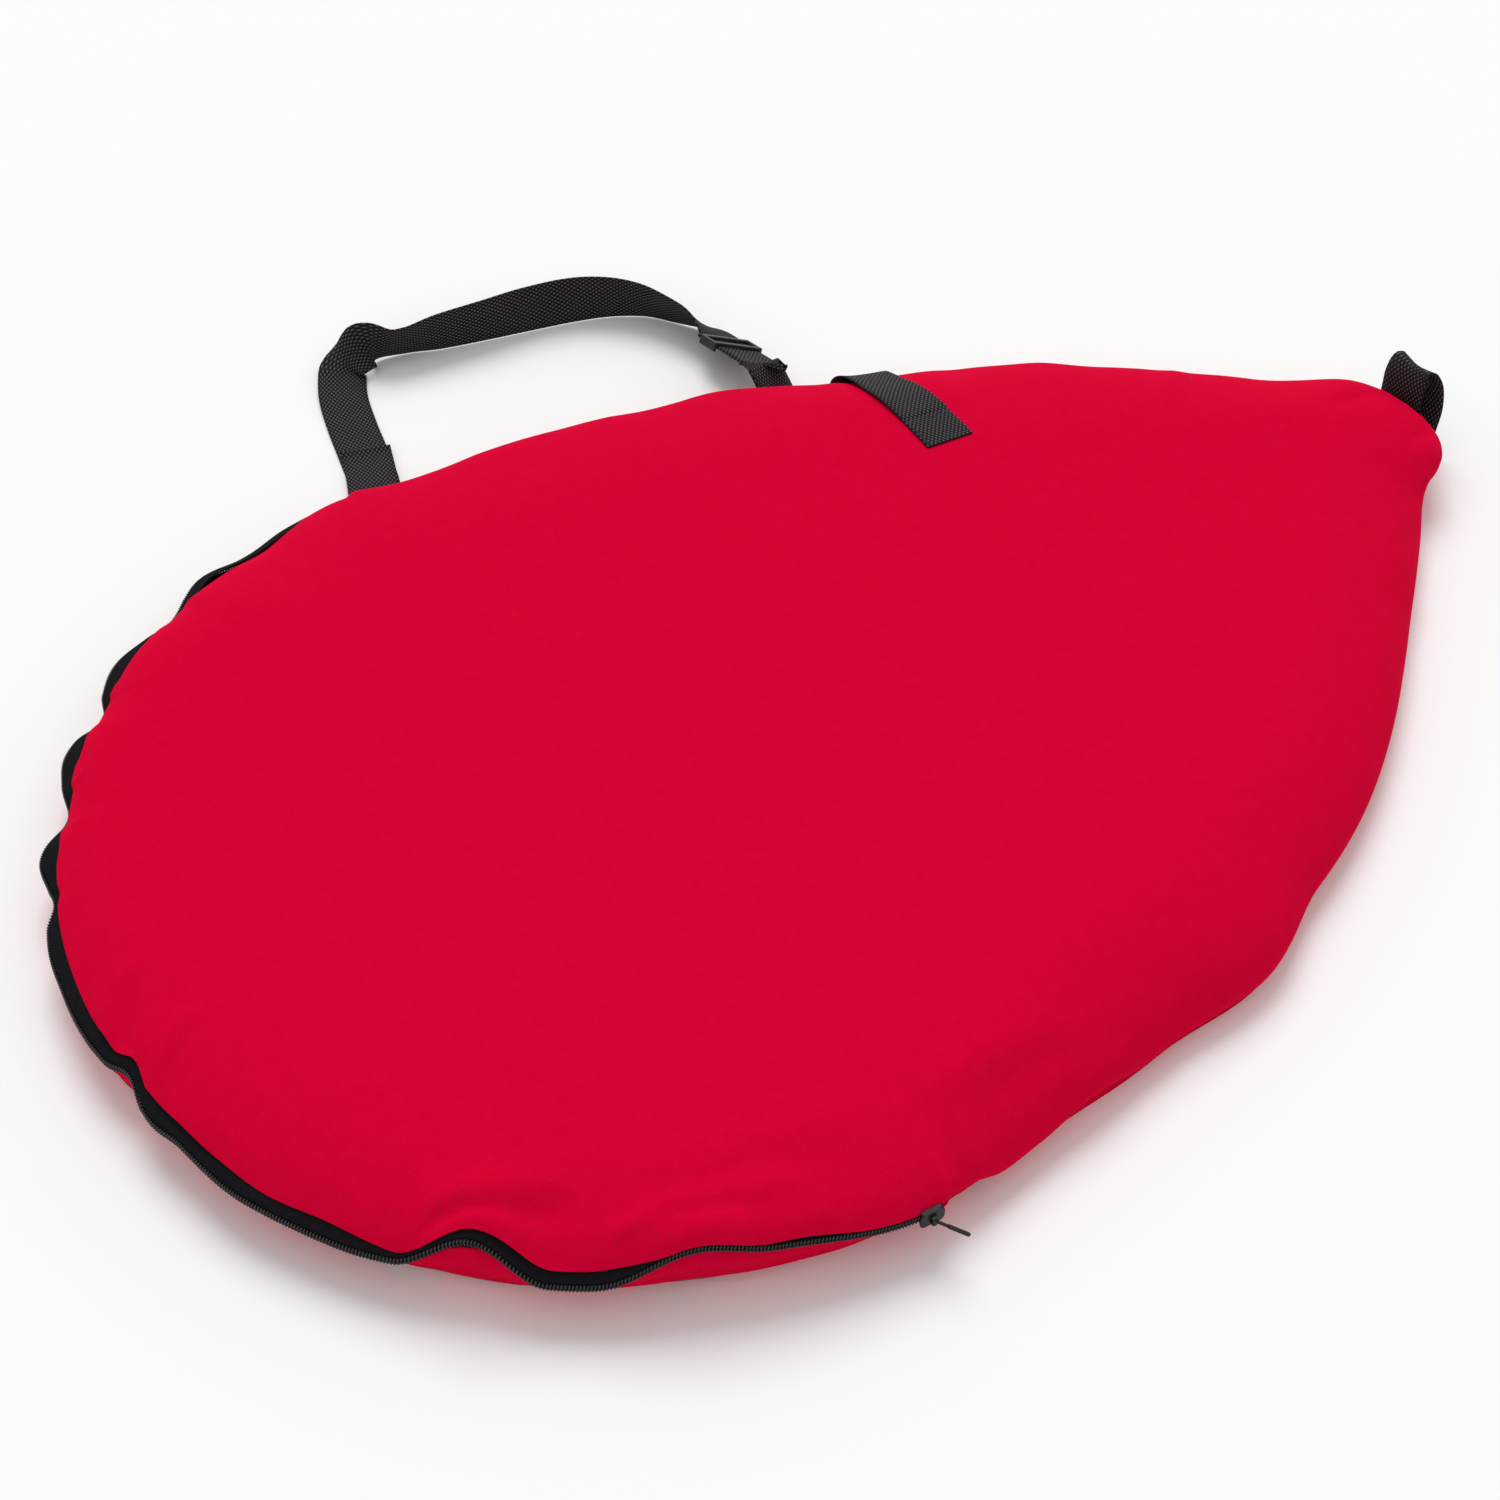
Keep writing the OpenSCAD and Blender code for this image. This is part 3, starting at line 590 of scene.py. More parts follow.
def front_point(u, v):
    """A point of the front cloth: u round the rim, v from the sewn edge to the middle."""
    s = (u * 2 - 1) * half_rim
    point, out = rim(s)
    middle = spine_point(point)
    reach = (middle - point).length
    sway_out, sway_up = rim_sway(s)
    sway_out *= 1 if sway_out < 0 else 0.15
    sway_out = max(sway_out, -0.0035) if s < -0.14 else sway_out
    sway_out -= 0.0028 * ease(0.14, 0.22, -s) * (1 - ease(0.55, 0.7, -s))
    on_zip = zip_share(s)
    edge = edge_inset(s)
    row = round(v * panel_rows)
    share = max(row - 1, 0) / (panel_rows - 1)
    inset = edge + (reach - edge) * share**2
    away = 1 - ease(0.6, 1.0, share)
    place = point + (middle - point) * (inset / reach)
    low = seam_height(s)
    deep = max(inset_at(place.x, place.y), edge if row < 2 else 0)
    z = cloth_height(s, place.x, place.y, deep, away)
    z -= edge_droop * on_zip * math.exp(-(inset - edge) / 0.022)
    tuck = foot_inset(s) * low_share(s) * max(0, 1 - (z - low) / 0.024) ** 1.6
    hold = math.exp(-((inset - edge) / 0.035) ** 1.5) * away
    lean = side_lean(s) * math.exp(-((inset / 0.11) ** 2)) * away
    place += out * (sway_out * hold + lean - tuck)
    z += sway_up * hold + edge_pucker(s, inset - edge) * away
    if row == 0:
        place -= out * 0.0022
        z -= 0.0022
    return Vector((place.x, place.y, max(z, 0.0018)))


front_cloth = laid_grid("front_cloth", 860, panel_rows, front_point, red_twill, closed=True)


def lined(obj, outward):
    """Turn a laid sheet's faces to the side that outward gives, and give it its thickness."""
    bm = bmesh.new()
    bm.from_mesh(obj.data)
    if sum(face.normal.dot(outward(face.calc_center_median())) for face in bm.faces) < 0:
        bmesh.ops.reverse_faces(bm, faces=bm.faces)
    bmesh.ops.solidify(bm, geom=bm.faces[:], thickness=cloth_thick)
    bm.to_mesh(obj.data)
    bm.free()
    obj.data.shade_smooth()


lined(front_cloth, lambda at: Vector((0, 0, 1)))
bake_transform(front_cloth)
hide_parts("front_panel", "front_flap")

# %% [markdown]
# The side wall stands on the back panel and goes all the way round. Under the zip it is lower, and
# the lower half of the zip is sewn inside its top. The back panel is cut to the line of its foot.

# %% Side wall
wall_low = 0.0322
wall_rows = 14


def wall_point(u, v):
    """A point of the side wall: u round the rim, v from the floor to its top."""
    s = (u * 2 - 1) * half_rim
    point, out = rim(s)
    sway_out, sway_up = rim_sway(s)
    on_zip = zip_share(s)
    top = seam_height(s) * (1 - on_zip) + wall_low * on_zip
    z = 0.0008 + (top - 0.0008) * v
    inset = wall_inset(s, z) * (1 - low_share(s)) + foot_inset(s) * low_share(s)
    inset += 0.0015 * on_zip * ease(0.028, 0.031, z)
    loose = noise.noise(Vector((s * 13, v * 1.4, 8))) * math.sin(math.pi * min(v, 1))
    out_by = sway_out * v**4 + side_lean(s) - inset + 0.003 * loose
    if abs(s) < round_len:
        out_by = max(out_by, -ring_room(s, z))
    place = point + out * out_by
    return Vector((place.x, place.y, z + sway_up * v**1.5))


side_cloth = laid_grid("side_cloth", 860, wall_rows, wall_point, red_twill, closed=True)
lined(side_cloth, lambda at: Vector((at.x - 0.2, at.y, 0)))
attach(side_cloth, "bag")
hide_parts("side_wall")

# %% Back panel
back_rows = 16


def back_point(u, v):
    """A point of the back panel's lower face: u round the rim, v from its edge to the middle."""
    s = (u * 2 - 1) * half_rim
    point, out = rim(s)
    middle = spine_point(point)
    share = v**1.6
    low = low_share(s)
    edge = point + out * (side_lean(s) - wall_inset(s, 0) * (1 - low) - foot_inset(s) * low)
    place = edge + (middle - edge) * share
    return Vector((place.x, place.y, 0.0))


back_cloth = laid_grid("back_cloth", 430, back_rows, back_point, red_twill, closed=True)
lined(back_cloth, lambda at: Vector((0, 0, -1)))
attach(back_cloth, "bag")
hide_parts("back_panel")

# %% [markdown]
# The zip is a nylon coil on woven tape. The lower tape stands inside the wall's top, and the upper
# one leaves its coil upwards and slopes in under the front panel.

# %% Zip tapes
chain_r = round_r - 0.002
zip_z = 0.038
slit_half = 0.0009
bend_z = zip_z + 0.0055
bend_share = 0.35


def tape_place(s, radius, z):
    """A point of a tape, at a radius and a height of the plain zip, moved with the rim."""
    out = rim(s)[1]
    sway_out, sway_up = rim_sway(s)
    inward = (chain_r - radius) / 0.035
    hold = math.exp(-max(inward, 0) ** 1.5)
    place = out * (radius + sway_out * hold)
    return Vector((place.x, place.y, z + sway_up * hold))


def upper_tape_point(u, v):
    """Upper tape: v from the coil up and in under the panel."""
    s = u * zip_len - zip_half
    if v < bend_share:
        low = zip_z + slit_half
        return tape_place(s, chain_r, low + (bend_z - low) * v / bend_share)
    t = (v - bend_share) / (1 - bend_share)
    return tape_place(s, chain_r - 0.014 * t, bend_z + 0.009 * t)


def lower_tape_point(u, v):
    """Lower tape: v from inside the wall up to the coil."""
    s = u * zip_len - zip_half
    low = wall_low - 0.004
    z = low + (zip_z - slit_half - low) * v
    return tape_place(s, chain_r - 0.7 * max(wall_low - z, 0), z)


upper_tape = laid_grid("upper_tape", 420, 8, upper_tape_point, zip_tape, thickness=0.0008)
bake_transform(upper_tape)
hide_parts("zip_tape_upper", "zip_ends")
lower_tape = laid_grid("lower_tape", 420, 4, lower_tape_point, zip_tape, thickness=0.0008)
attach(lower_tape, "bag")
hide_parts("zip_tape_lower")

# %% [markdown]
# A coil is one nylon wire wound into loops, so what shows of each loop is a small bead across the
# chain. One bead is made and copied along the rim.

# %% Coil beads
bead_pitch = 0.0026


def frame_at(at, *axes):
    """A matrix that lays a piece at a point, along three directions."""
    return Matrix.Translation(at) @ Matrix(axes).transposed().to_4x4()


def zip_frame(s, proud, z):
    """A matrix at a place of the chain, with X outwards, Y along the rim and Z up."""
    out = rim(s)[1]
    at = tape_place(s, chain_r + proud, z)
    return frame_at(at, out, Vector((-out.y, out.x, 0)), Vector((0, 0, 1)))


def coil_row(name, z, lean):
    """One row of coil: a bead for each turn of the wire, at a height above the floor."""
    bm = bmesh.new()
    along_first = Matrix(((0, 1, 0), (1, 0, 0), (0, 0, 1))).to_4x4()
    bead = along_first @ Matrix.Rotation(lean, 4, "Y") @ Matrix.Diagonal((0.00105, 0.0016, 0.0021, 1))
    for k in range(int((zip_len - 0.016) / bead_pitch) + 1):
        on_chain = zip_frame(0.008 - zip_half + k * bead_pitch, 0.0013, z)
        bmesh.ops.create_icosphere(bm, subdivisions=1, radius=1, matrix=on_chain @ bead)
    return joined(name, bm, coil_plastic)


upper_coil = coil_row("upper_coil", zip_z + 0.0019, 0.4)
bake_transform(upper_coil)
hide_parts("zip_coil_upper")
lower_coil = coil_row("lower_coil", zip_z - 0.0019, -0.4)
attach(lower_coil, "bag")
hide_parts("zip_coil_lower")

# %% [markdown]
# A moulded stop closes each end of the chain. Small mouldings like it, the slider and the strap's
# adjuster are built from bevelled blocks, each in the piece's own frame.


# %% Blocks
def block(bm, low, high, place, round_by=0.0006, axis=None, corner=0.0, segments=3):
    """A box between two opposite corners, with the edges along one axis rounded more than the others."""
    low, high = (Vector(map(pick, low, high)) for pick in (min, max))
    made = bmesh.ops.create_cube(bm, size=1)["verts"]
    bmesh.ops.scale(bm, vec=high - low, verts=made)
    bmesh.ops.translate(bm, vec=(low + high) / 2, verts=made)
    faces = {face for vert in made for face in vert.link_faces}
    edges = {edge for face in faces for edge in face.edges}
    if axis is not None:
        chosen = [edge for edge in edges
                  if abs((edge.verts[0].co - edge.verts[1].co).normalized()[axis]) > 0.99]
        rounded = bmesh.ops.bevel(bm, geom=chosen, offset=corner, segments=6, profile=0.5,
                                  affect="EDGES", material=-1)
        faces = {face for vert in rounded["verts"] for face in vert.link_faces} | {
            face for face in faces if face.is_valid}
        edges = {edge for face in faces for edge in face.edges
                 if edge.calc_face_angle(0) > math.radians(50)}
    bevelled = bmesh.ops.bevel(bm, geom=list(edges), offset=round_by, segments=segments,
                               profile=0.5, affect="EDGES", material=-1)
    verts = {vert for face in bevelled["faces"] for vert in face.verts}
    verts |= {vert for face in faces if face.is_valid for vert in face.verts}
    bmesh.ops.transform(bm, matrix=place, verts=list(verts))


# %% End stops
bm = bmesh.new()
for s in (0.006 - zip_half, zip_near - 0.001):
    on_chain = zip_frame(s, 0.001, zip_z)
    block(bm, (-0.0013, -0.0015, -0.0037), (0.0013, 0.0015, 0.0037), on_chain, segments=2)
end_stops = joined("end_stops", bm, coil_plastic, smooth=False)
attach(end_stops, "bag")
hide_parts("zip_stops")

# %% [markdown]
# Webbing is flat, so each strip is a grid laid along a chain of frames: a middle point, the
# direction across and the direction up at each step. Its selvedge is scalloped at each rib, and
# its pattern follows the strip because the UV map is written in metres.

# %% Webbing strips
webbing_w = 0.05
webbing_t = 0.0016
rib_pitch = 0.0026


def strip(name, frames, cup=0.0):
    """A strip of webbing through frames of (middle, across, up), with scalloped selvedges."""
    lengths = [0.0]
    for (a, _, _), (b, _, _) in zip(frames, frames[1:]):
        lengths.append(lengths[-1] + (b - a).length)
    columns = max(int(lengths[-1] / rib_pitch * 2), 4)
    spots = []
    k = 0
    for i in range(columns + 1):
        d = lengths[-1] * i / columns
        while k < len(frames) - 2 and lengths[k + 1] < d:
            k += 1
        t = (d - lengths[k]) / max(lengths[k + 1] - lengths[k], 1e-9)
        middle, across, up = (a.lerp(b, t) for a, b in zip(frames[k], frames[k + 1]))
        spots.append((middle, across.normalized(), up.normalized()))

    def place(u, v):
        i = round(u * columns)
        middle, across, up = spots[i]
        side = 2 * v - 1
        scallop = 0.0003 * (i % 2) if abs(side) > 0.99 else 0
        bow = cup * (1 - side**2)
        return middle + across * side * (webbing_w / 2 - scallop) + up * bow

    obj = laid_grid(name, columns, 8, place, black_webbing, thickness=webbing_t, offset=0)
    scale_uv(obj, lengths[-1], webbing_w)
    return obj


def chain_frames(chain, side_at):
    """Frames of (middle, across, up) along a chain of middles; side_at turns them."""
    frames = []
    for i, middle in enumerate(chain):
        ahead = (chain[min(i + 1, len(chain) - 1)] - chain[max(i - 1, 0)]).normalized()
        across = side_at(i, ahead)
        across = (across - ahead * across.dot(ahead)).normalized()
        frames.append((middle, across, ahead.cross(across)))
    return frames


def spline(points, steps):
    """A smooth chain of points through the given ones."""
    ends = [points[0] * 2 - points[1], *points, points[-1] * 2 - points[-2]]
    chain = []
    for i in range(1, len(ends) - 2):
        p0, p1, p2, p3 = ends[i - 1:i + 3]
        for k in range(steps):
            t = k / steps
            chain.append(0.5 * (2 * p1 + (p2 - p0) * t + (2 * p0 - 5 * p1 + 4 * p2 - p3) * t**2
                                + (3 * p1 - p0 - 3 * p2 + p3) * t**3))
    return [*chain, points[-1]]


# %% [markdown]
# The shoulder strap leaves the foot of the far wall flat on the floor, turns up on its edge, runs
# along the bag and comes back to it doubled, with an adjuster on the doubled run. Its stations
# follow the line of the solid strap, with a sharper turn at its corner.

# %% Shoulder strap
strap_out = 0.25
# Each station: percent along the bag, percent of strap_out out from its side, lean in degrees
# (0 flat, 90 on edge), and lift of the lower edge in percent of the webbing's width.
strap_lie = [
    (1.54, 3.6, 0, 0), (3.6, 20.2, 0, 0), (5.0, 39.0, 0, 0), (6.3, 58.0, 0, 0), (7.75, 76.0, 2, 0),
    (9.2, 88, 4, 0), (10.3, 94.0, 12, 0), (12.0, 94.6, 40, 5), (14.7, 92.4, 106, 3),
    (17.5, 91.0, 114, 0), (21.46, 89.7, 100, 0), (26.86, 89.6, 90, 0), (32.02, 91.0, 80, 0),
    (36.95, 91.6, 78, 0), (41.01, 88.9, 90, 0), (44.19, 82.6, 104, 0), (46.0, 73.4, 114, 0),
    (47.37, 63.5, 128, 4)]
run_lie = [(47.81, 40.6, 155, 24), (46.93, 2.1, 155, 72)]
wall_lie = (47.5, 1.2, 155, 3)


def seam_y(x):
    """Half the width of the bag at a distance towards the tip."""
    return math.sqrt(side_r**2 - x**2) - side_c


def station(lie):
    """A station as x, y, lean and lift."""
    x = lie[0] / 100 * tip_x
    return Vector((x, seam_y(x) + lie[1] / 100 * strap_out, lie[2], lie[3] / 100 * webbing_w))


def strap_middle(spot):
    """The middle of the webbing at a station."""
    lift = webbing_t / 2 + webbing_w / 2 * math.sin(math.radians(spot[2]))
    return Vector((spot[0], spot[1], spot[3] + lift))


def strap_frames(spots):
    """Frames of (middle, across, up) along a chain of stations."""

    def side_at(i, ahead):
        lean = math.radians(spots[i][2])
        flat = Vector((-ahead.y, ahead.x, 0)).normalized()
        return flat * math.cos(lean) + Vector((0, 0, math.sin(lean)))

    return chain_frames([strap_middle(spot) for spot in spots], side_at)


run_foot, run_top = (station(lie) for lie in run_lie)
run_len = (strap_middle(run_top) - strap_middle(run_foot)).length
run_step = (run_top - run_foot) / run_len
free_spots = [station(lie) for lie in strap_lie]
run_reach = (-0.032, -0.02, 0.0, 0.036, 0.067, 0.073)
run_spots = [*(run_foot + run_step * reach for reach in run_reach), station(wall_lie)]
strap_steps = 14
strap_chain = spline(free_spots + run_spots, strap_steps)
shoulder_strap = strip("strap_long", strap_frames(strap_chain), cup=0.0006)
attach(shoulder_strap, "bag")
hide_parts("shoulder_strap")

# %% Tail of the strap
tail_lift = webbing_t + 0.0001
tail_chain = strap_chain[(len(free_spots) + 1) * strap_steps:-3]
tail_frames = [(middle + up * tail_lift, across, up)
               for middle, across, up in strap_frames(tail_chain)]
tail_strip = strip("strap_free_end", tail_frames)
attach(tail_strip, "bag")
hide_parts("strap_tail")

# %% [markdown]
# The strap is held by two short pieces. One runs down the wall, under the bag's foot and out over
# the strap, with a sewn overlap. The other is a patch on the far wall, behind the doubled run.

# %% Anchors
anchor_lift = 1.5 * webbing_t + 0.0002


def far_rim(x):
    """Place along the rim of a point on the far side, at a distance towards the tip."""
    return -(round_len + side_r * math.asin(x / side_r))


def wall_spot(s, z, proud):
    """A point on the upright part of the far wall, proud of its cloth."""
    point, out = rim(s)
    return Vector((*(point + out * (proud - wall_inset(s, z))).xy, z))


anchor_start, anchor_end = free_spots[0], free_spots[2]
anchor_root = Vector((anchor_start.x, anchor_start.y, 0))
anchor_ahead = (Vector((anchor_end.x, anchor_end.y, 0)) - anchor_root).normalized()
anchor_side = Vector((-anchor_ahead.y, anchor_ahead.x, 0))
anchor_s = far_rim(anchor_root.x)
anchor_line = [wall_spot(anchor_s, z, 0.0012) for z in (0.024, 0.018, 0.012, 0.0065)]
anchor_len = (Vector((anchor_end.x, anchor_end.y, 0)) - anchor_root).length
for d in (-0.01, 0.006, 0.022, 0.045, 0.068, anchor_len - 0.006, anchor_len + 0.004):
    ripple = 0.0022 * bell(d, 0.052, 0.022) + 0.0016 * bell(d, 0.02, 0.018)
    anchor_line.append(anchor_root + anchor_ahead * d + Vector((0, 0, anchor_lift + ripple)))
anchor_line[-1] += Vector((0, 0, 0.003))
anchor_line = [spot - anchor_side * 0.0028 * ease(0, 0.06, spot.y - anchor_root.y)
               for spot in anchor_line]
anchor_frames = chain_frames(spline(anchor_line, 8), lambda i, ahead: anchor_side)
anchor_strip = strip("anchor_round", anchor_frames, cup=0.0008)
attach(anchor_strip, "bag")
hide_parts("strap_anchor_round")

patch_low, patch_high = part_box("strap_anchor_tip")


def patch_point(u, v):
    """A point of the patch on the far wall: u along the bag, v up."""
    s = far_rim(patch_low.x + (patch_high.x - patch_low.x) * u)
    return wall_spot(s, 0.003 + (seam_height(s) - 0.004) * v, 0.0014)


patch = laid_grid("anchor_patch", 24, 14, patch_point, black_webbing, thickness=webbing_t, offset=0)
for loop in patch.data.uv_layers[0].data:
    loop.uv = (loop.uv[1] * 0.041, loop.uv[0] * 0.056)
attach(patch, "bag")
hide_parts("strap_anchor_tip")

# %% [markdown]
# A webbing tab lies over the far edge of the front panel. Its end is pressed flat by its
# stitching, and beyond the stitching it lies a little loose.

# %% Front tab
tab_turn = math.radians(-7)
tab_len = 0.19
tab_sewn = 0.046
tab_x = 0.5241 * tip_x
tab_ahead = Vector((-math.sin(tab_turn), math.cos(tab_turn), 0))
tab_side = Vector((math.cos(tab_turn), math.sin(tab_turn), 0))
tab_foot = Vector((tab_x, seam_y(tab_x) - tab_len, 0))


def far_cloth_z(x, y):
    """Height of the front cloth at a point of the plan on the far side."""
    s = -(round_len + side_r * math.atan2(x, y + side_c))
    point = rim(s)[0]
    reach = (spine_point(point) - point).length
    inset = inset_at(x, y)
    away = 1 - ease(0.6, 1.0, math.sqrt(max(inset, 0) / reach))
    return cloth_height(s, x, y, inset, away) + edge_pucker(s, inset) * away


def tab_lift(d):
    """How far the middle of the tab's webbing lies over the cloth, at a distance along it."""
    lift = 0.0013 + 0.0016 * ease(tab_sewn, tab_sewn + 0.005, d) + 0.0012 * bell(d, 0.085, 0.04)
    return lift + 0.0055 * bell(d, 0.178, 0.06)


def tab_line(side):
    """The line of the tab at a distance to the side of its middle, from its end to the wall's foot."""
    line = []
    d = 0.0
    while True:
        spot = tab_foot + tab_side * side + tab_ahead * d
        inset = inset_at(spot.x, spot.y)
        if inset < 0.0006:
            break
        line.append(Vector((spot.x, spot.y, far_cloth_z(spot.x, spot.y) + tab_lift(d))))
        d += 0.0026 if inset > 0.01 else 0.0006
    s = far_rim(line[-1].x)
    top = seam_height(s)
    for k in range(16):
        line.append(wall_spot(s, top - (top - 0.004) * k / 15, 0.0016 + 0.0008 * ease(0, 4, k)))
    return line


def along_line(line, share):
    """The point at a share of a line's length."""
    steps = [(b - a).length for a, b in zip(line, line[1:])]
    left = sum(steps) * share
    for a, b, step in zip(line, line[1:], steps):
        if left <= step:
            return a.lerp(b, left / step)
        left -= step
    return line[-1]


tab_rows = 8
tab_columns = 180
tab_lines = [tab_line(webbing_w * (k / tab_rows - 0.5)) for k in range(tab_rows + 1)]


def tab_point(u, v):
    """A point of the tab: u from its sewn end to the wall's foot, v across."""
    row = round(v * tab_rows)
    scallop = 0.0003 * (round(u * tab_columns) % 2) if row in (0, tab_rows) else 0
    return along_line(tab_lines[row], u) + tab_side * scallop * (1 if row == 0 else -1)


tab_strip = laid_grid("front_tab_strip", tab_columns, tab_rows, tab_point, black_webbing,
                      thickness=webbing_t, offset=0)
tab_run = sum((b - a).length for a, b in zip(tab_lines[4], tab_lines[4][1:]))
scale_uv(tab_strip, tab_run, webbing_w)
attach(tab_strip, "bag")
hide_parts("front_tab")
print(f"tab {tab_run:.3f} m long")

# %% [markdown]
# Stitches are short beads of thread, half sunk in the webbing. A seam is a row of them between
# two points, laid on the surface that a function gives.

# %% Stitches
thread_black = moulded("thread_black", srgb(34, 33, 36), srgb(70, 68, 72), 0.6, 900.0, 0.00003)
stitch_len = 0.0032


def sew(bm, start, end, surface):
    """A row of stitches from start to end on the plan, on the surface."""
    run = end - start
    count = max(round(run.length / stitch_len), 1)
    for k in range(count):
        a, b = (surface(start + run * ((k + t) / count)) for t in (0.08, 0.92))
        ahead = (b - a).normalized()
        side = ahead.cross(Vector((0, 0, 1))).normalized()
        turn = frame_at((a + b) / 2, ahead, side, ahead.cross(side))
        size = Matrix.Diagonal(((b - a).length / 2, 0.00045, 0.00035, 1))
        bmesh.ops.create_icosphere(bm, subdivisions=1, radius=1, matrix=turn @ size)


def tab_top(spot):
    """Upper face of the tab's webbing at a point given by its distance along and to the side."""
    at = tab_foot + tab_side * spot.y + tab_ahead * spot.x
    lift = tab_lift(spot.x) + webbing_t / 2 + 0.0001
    return Vector((at.x, at.y, far_cloth_z(at.x, at.y) + lift))


bm = bmesh.new()
hem = 0.0035
half_hem = webbing_w / 2 - hem
sewn_end = tab_sewn - hem
corners = [Vector(at) for at in ((hem, -half_hem), (hem, half_hem), (sewn_end, half_hem),
                                 (sewn_end, -half_hem))]
for a, b in zip(corners, corners[1:] + corners[:1]):
    sew(bm, a, b, tab_top)
sew(bm, Vector((sewn_end - 0.003, -half_hem)), Vector((sewn_end - 0.003, half_hem)), tab_top)
tab_seam = joined("tab_stitches", bm, thread_black)
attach(tab_seam, "bag")


def anchor_top(spot):
    """Upper face of the round end's anchor, at a distance along and to the side."""
    at = anchor_root + anchor_ahead * spot.x + anchor_side * spot.y
    return Vector((at.x, at.y, anchor_lift + webbing_t / 2 + 0.0002))


bm = bmesh.new()
for d in (anchor_len - 0.003, anchor_len - 0.007):
    sew(bm, Vector((d, -half_hem)), Vector((d, half_hem)), anchor_top)
anchor_seam = joined("anchor_stitches", bm, thread_black)
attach(anchor_seam, "bag")

# %% [markdown]
# The loop at the tip is a hairpin of webbing. It stands up from the blunt end, bends over, and
# comes back down outside itself, a little to one side.

# %% Tip loop
loop_low, loop_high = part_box("tip_loop")
loop_mid = (loop_low.y + loop_high.y) / 2
loop_x = loop_low.x + webbing_t / 2
# Each point of the loop's line: out from the wall, to the side, and height.
loop_line = [
    (0.0, 0.006, 0.01), (0.0003, 0.007, 0.03), (0.0006, 0.008, 0.052), (0.0016, 0.009, 0.069),
    (0.006, 0.009, 0.081), (0.011, 0.008, 0.0838), (0.016, 0.005, 0.08), (0.0195, 0.0, 0.067),
    (0.018, -0.005, 0.048), (0.012, -0.008, 0.03), (0.0055, -0.01, 0.015), (0.0036, -0.01, 0.009)]
loop_chain = spline([Vector((loop_x + out, loop_mid + side, z)) for out, side, z in loop_line], 8)


def loop_side(i, ahead):
    """The direction across the loop, which twists towards its end."""
    twist = 0.22 * ease(0.55, 1, i / len(loop_chain))
    return Vector((0, math.cos(twist), math.sin(twist)))


tip_strip = strip("tip_loop_strip", chain_frames(loop_chain, loop_side))
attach(tip_strip, "bag")
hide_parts("tip_loop")

# %% [markdown]
# The adjuster is a moulding with three bars between two rails, all with rounded edges. It is
# built on the straight run of the strap, along which it slides.

# %% Strap adjuster
run_frame = strap_frames([run_foot, run_top])[0]
run_ahead = (strap_middle(run_top) - strap_middle(run_foot)).normalized()
on_run = frame_at(run_frame[0], run_ahead, run_frame[1], run_frame[2])
half_l, half_w, rail_w, bar_t = 0.016, 0.0257, 0.0035, 0.003
bar_low, bar_high = -0.0012, 0.0029
bar_reach = half_w + 0.001
bm = bmesh.new()
for side in (-1, 1):
    block(bm, (-half_l, side * half_w, bar_low - bar_t),
          (half_l, side * (half_w + rail_w), bar_high + bar_t), on_run, 0.0011)
    block(bm, (side * (half_l - 0.006), -bar_reach, bar_low - bar_t),
          (side * half_l, bar_reach, bar_low), on_run, 0.0011)
block(bm, (-0.0025, -bar_reach, bar_high), (0.0025, bar_reach, bar_high + bar_t), on_run, 0.001)
adjuster = joined("adjuster", bm, adjuster_plastic, smooth=False)
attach(adjuster, "strap_adjuster")
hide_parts("strap_adjuster")

# %% [markdown]
# The slider has two plates with rounded corners, joined by a post and closed at the sides, and a
# bridge on the outer plate that carries the pull.

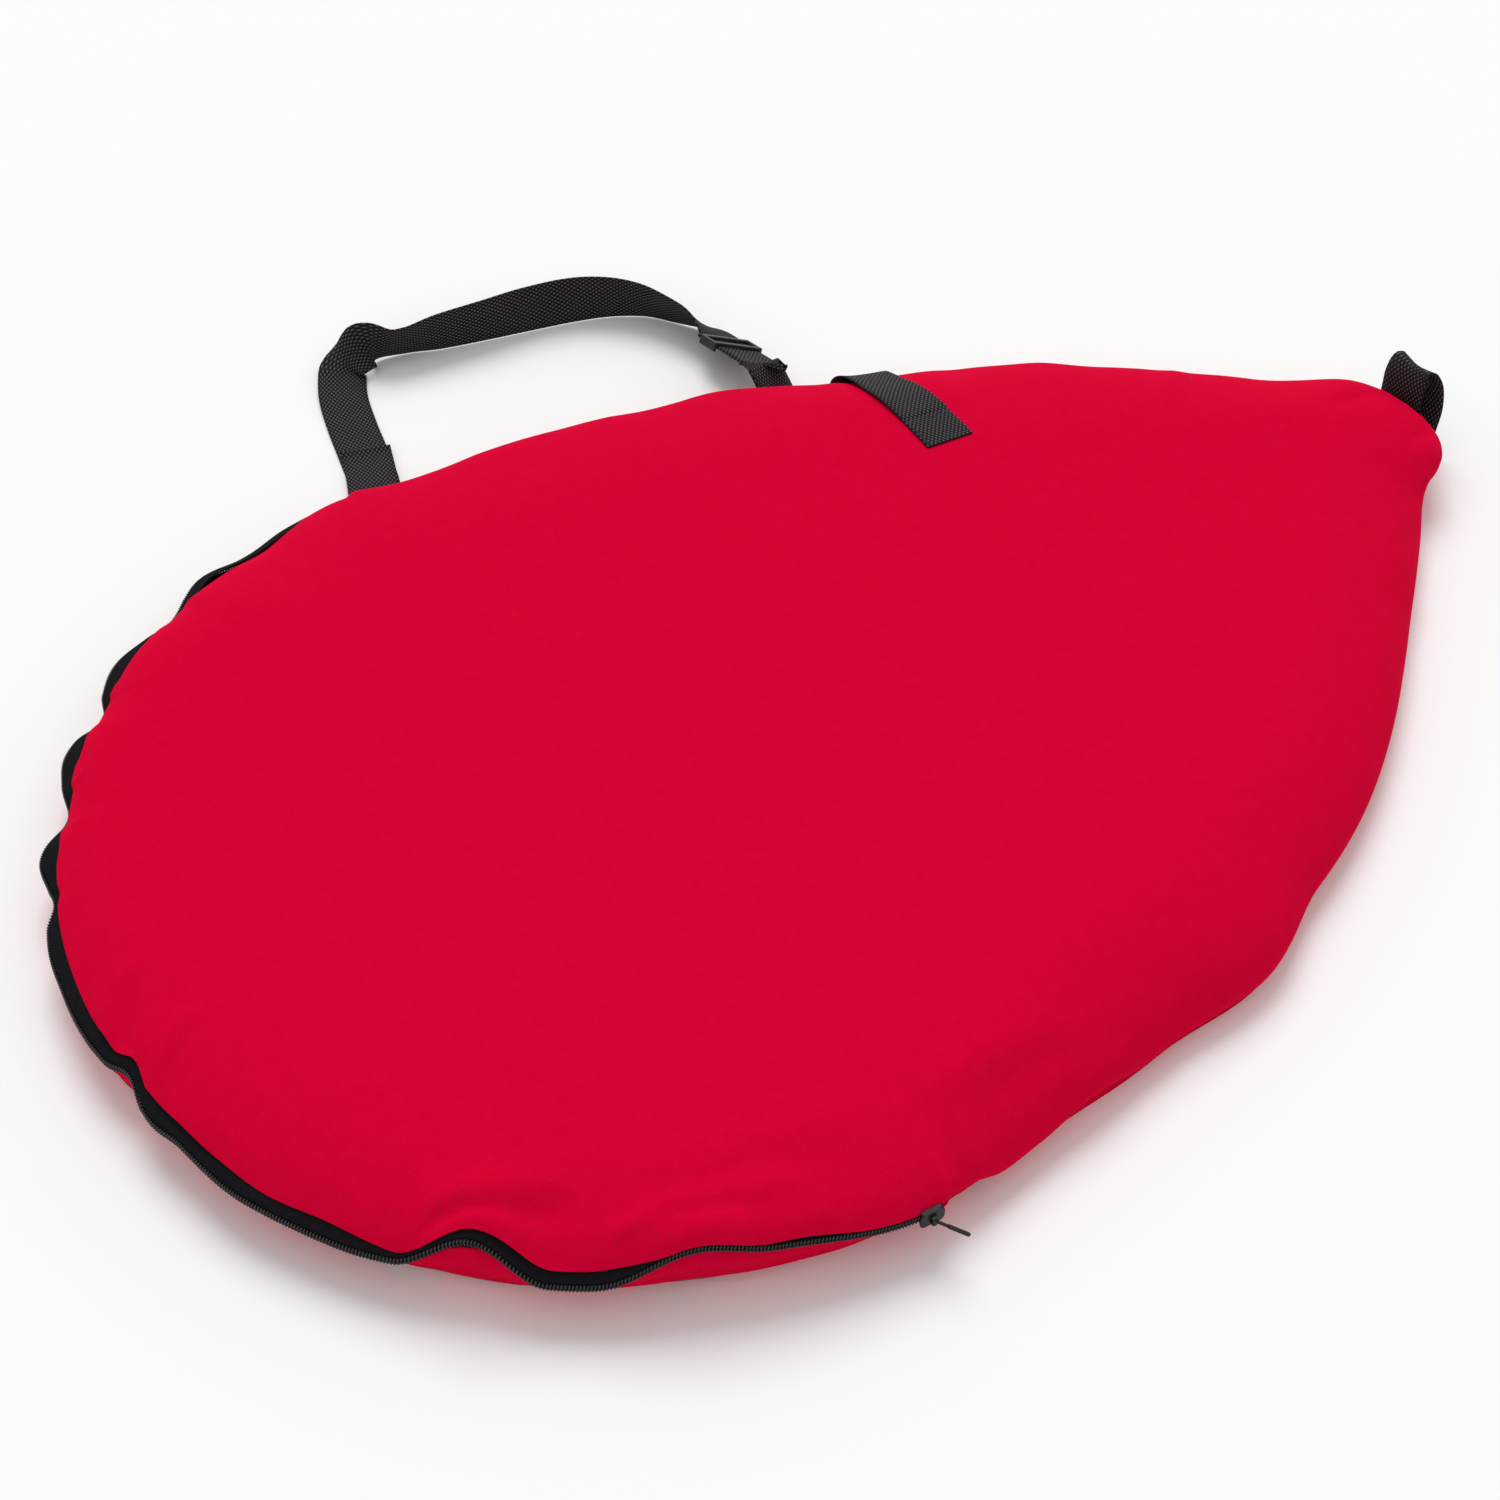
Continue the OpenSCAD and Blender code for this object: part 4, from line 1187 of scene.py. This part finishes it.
# %% Zip slider
slider_a = math.radians(-95.5)
plate_half, plate_high = 0.01, 0.0075
out_dir = Vector((math.cos(slider_a), math.sin(slider_a), 0))
along_dir = Vector((-out_dir.y, out_dir.x, 0))
zip_at = out_dir * chain_r + Vector((0, 0, zip_z))
on_zip = frame_at(zip_at, out_dir, along_dir, Vector((0, 0, 1)))
pin_out = 0.0074
bm = bmesh.new()
for inner, outer in ((0.0032, 0.0052), (-0.0036, -0.0016)):
    block(bm, (inner, -plate_half, -plate_high), (outer, plate_half, plate_high), on_zip,
          0.0004, 0, 0.0042)
for side in (-1, 1):
    block(bm, (0.0006, -0.0082, side * 0.0045), (0.0036, 0.0082, side * 0.0073), on_zip, 0.0004)
    block(bm, (0.0046, -0.0025, side * 0.0026), (0.0092, 0.0025, side * 0.0042), on_zip,
          0.0006, 2, 0.0016)
block(bm, (-0.002, -0.003, -0.0006), (0.0036, 0.003, 0.0006), on_zip, 0.0001)
pin_place = on_zip @ Matrix.Translation((pin_out, 0, 0))
bmesh.ops.create_cone(bm, cap_ends=True, segments=16, radius1=0.0008, radius2=0.0008,
                      depth=0.0066, matrix=pin_place)
slider_body = joined("slider_body", bm, slider_metal, smooth=False)
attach(slider_body, "zip_slider")
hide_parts("zip_slider")

# %% Zip pull
pull_place = pin_place @ Matrix.Rotation(math.radians(35), 4, "Z")
bm = bmesh.new()
block(bm, (0.0013, -0.0007, -0.0016), (0.012, 0.0007, 0.0016), pull_place, 0.0004, segments=2)
block(bm, (0.0095, -0.0007, -0.0023), (0.027, 0.0007, 0.0023), pull_place, 0.0004, 1, 0.0021)
for k in range(5):
    x = 0.0135 + 0.0022 * k
    block(bm, (x, -0.001, -0.0016), (x + 0.0009, 0.001, 0.0016), pull_place, 0.0003, segments=2)
bmesh.ops.create_cone(bm, cap_ends=True, segments=20, radius1=0.002, radius2=0.002,
                      depth=0.0044, matrix=pull_place)
zip_tag = joined("pull_tab", bm, slider_metal, smooth=False)
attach(zip_tag, "zip_pull")
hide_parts("zip_pull")
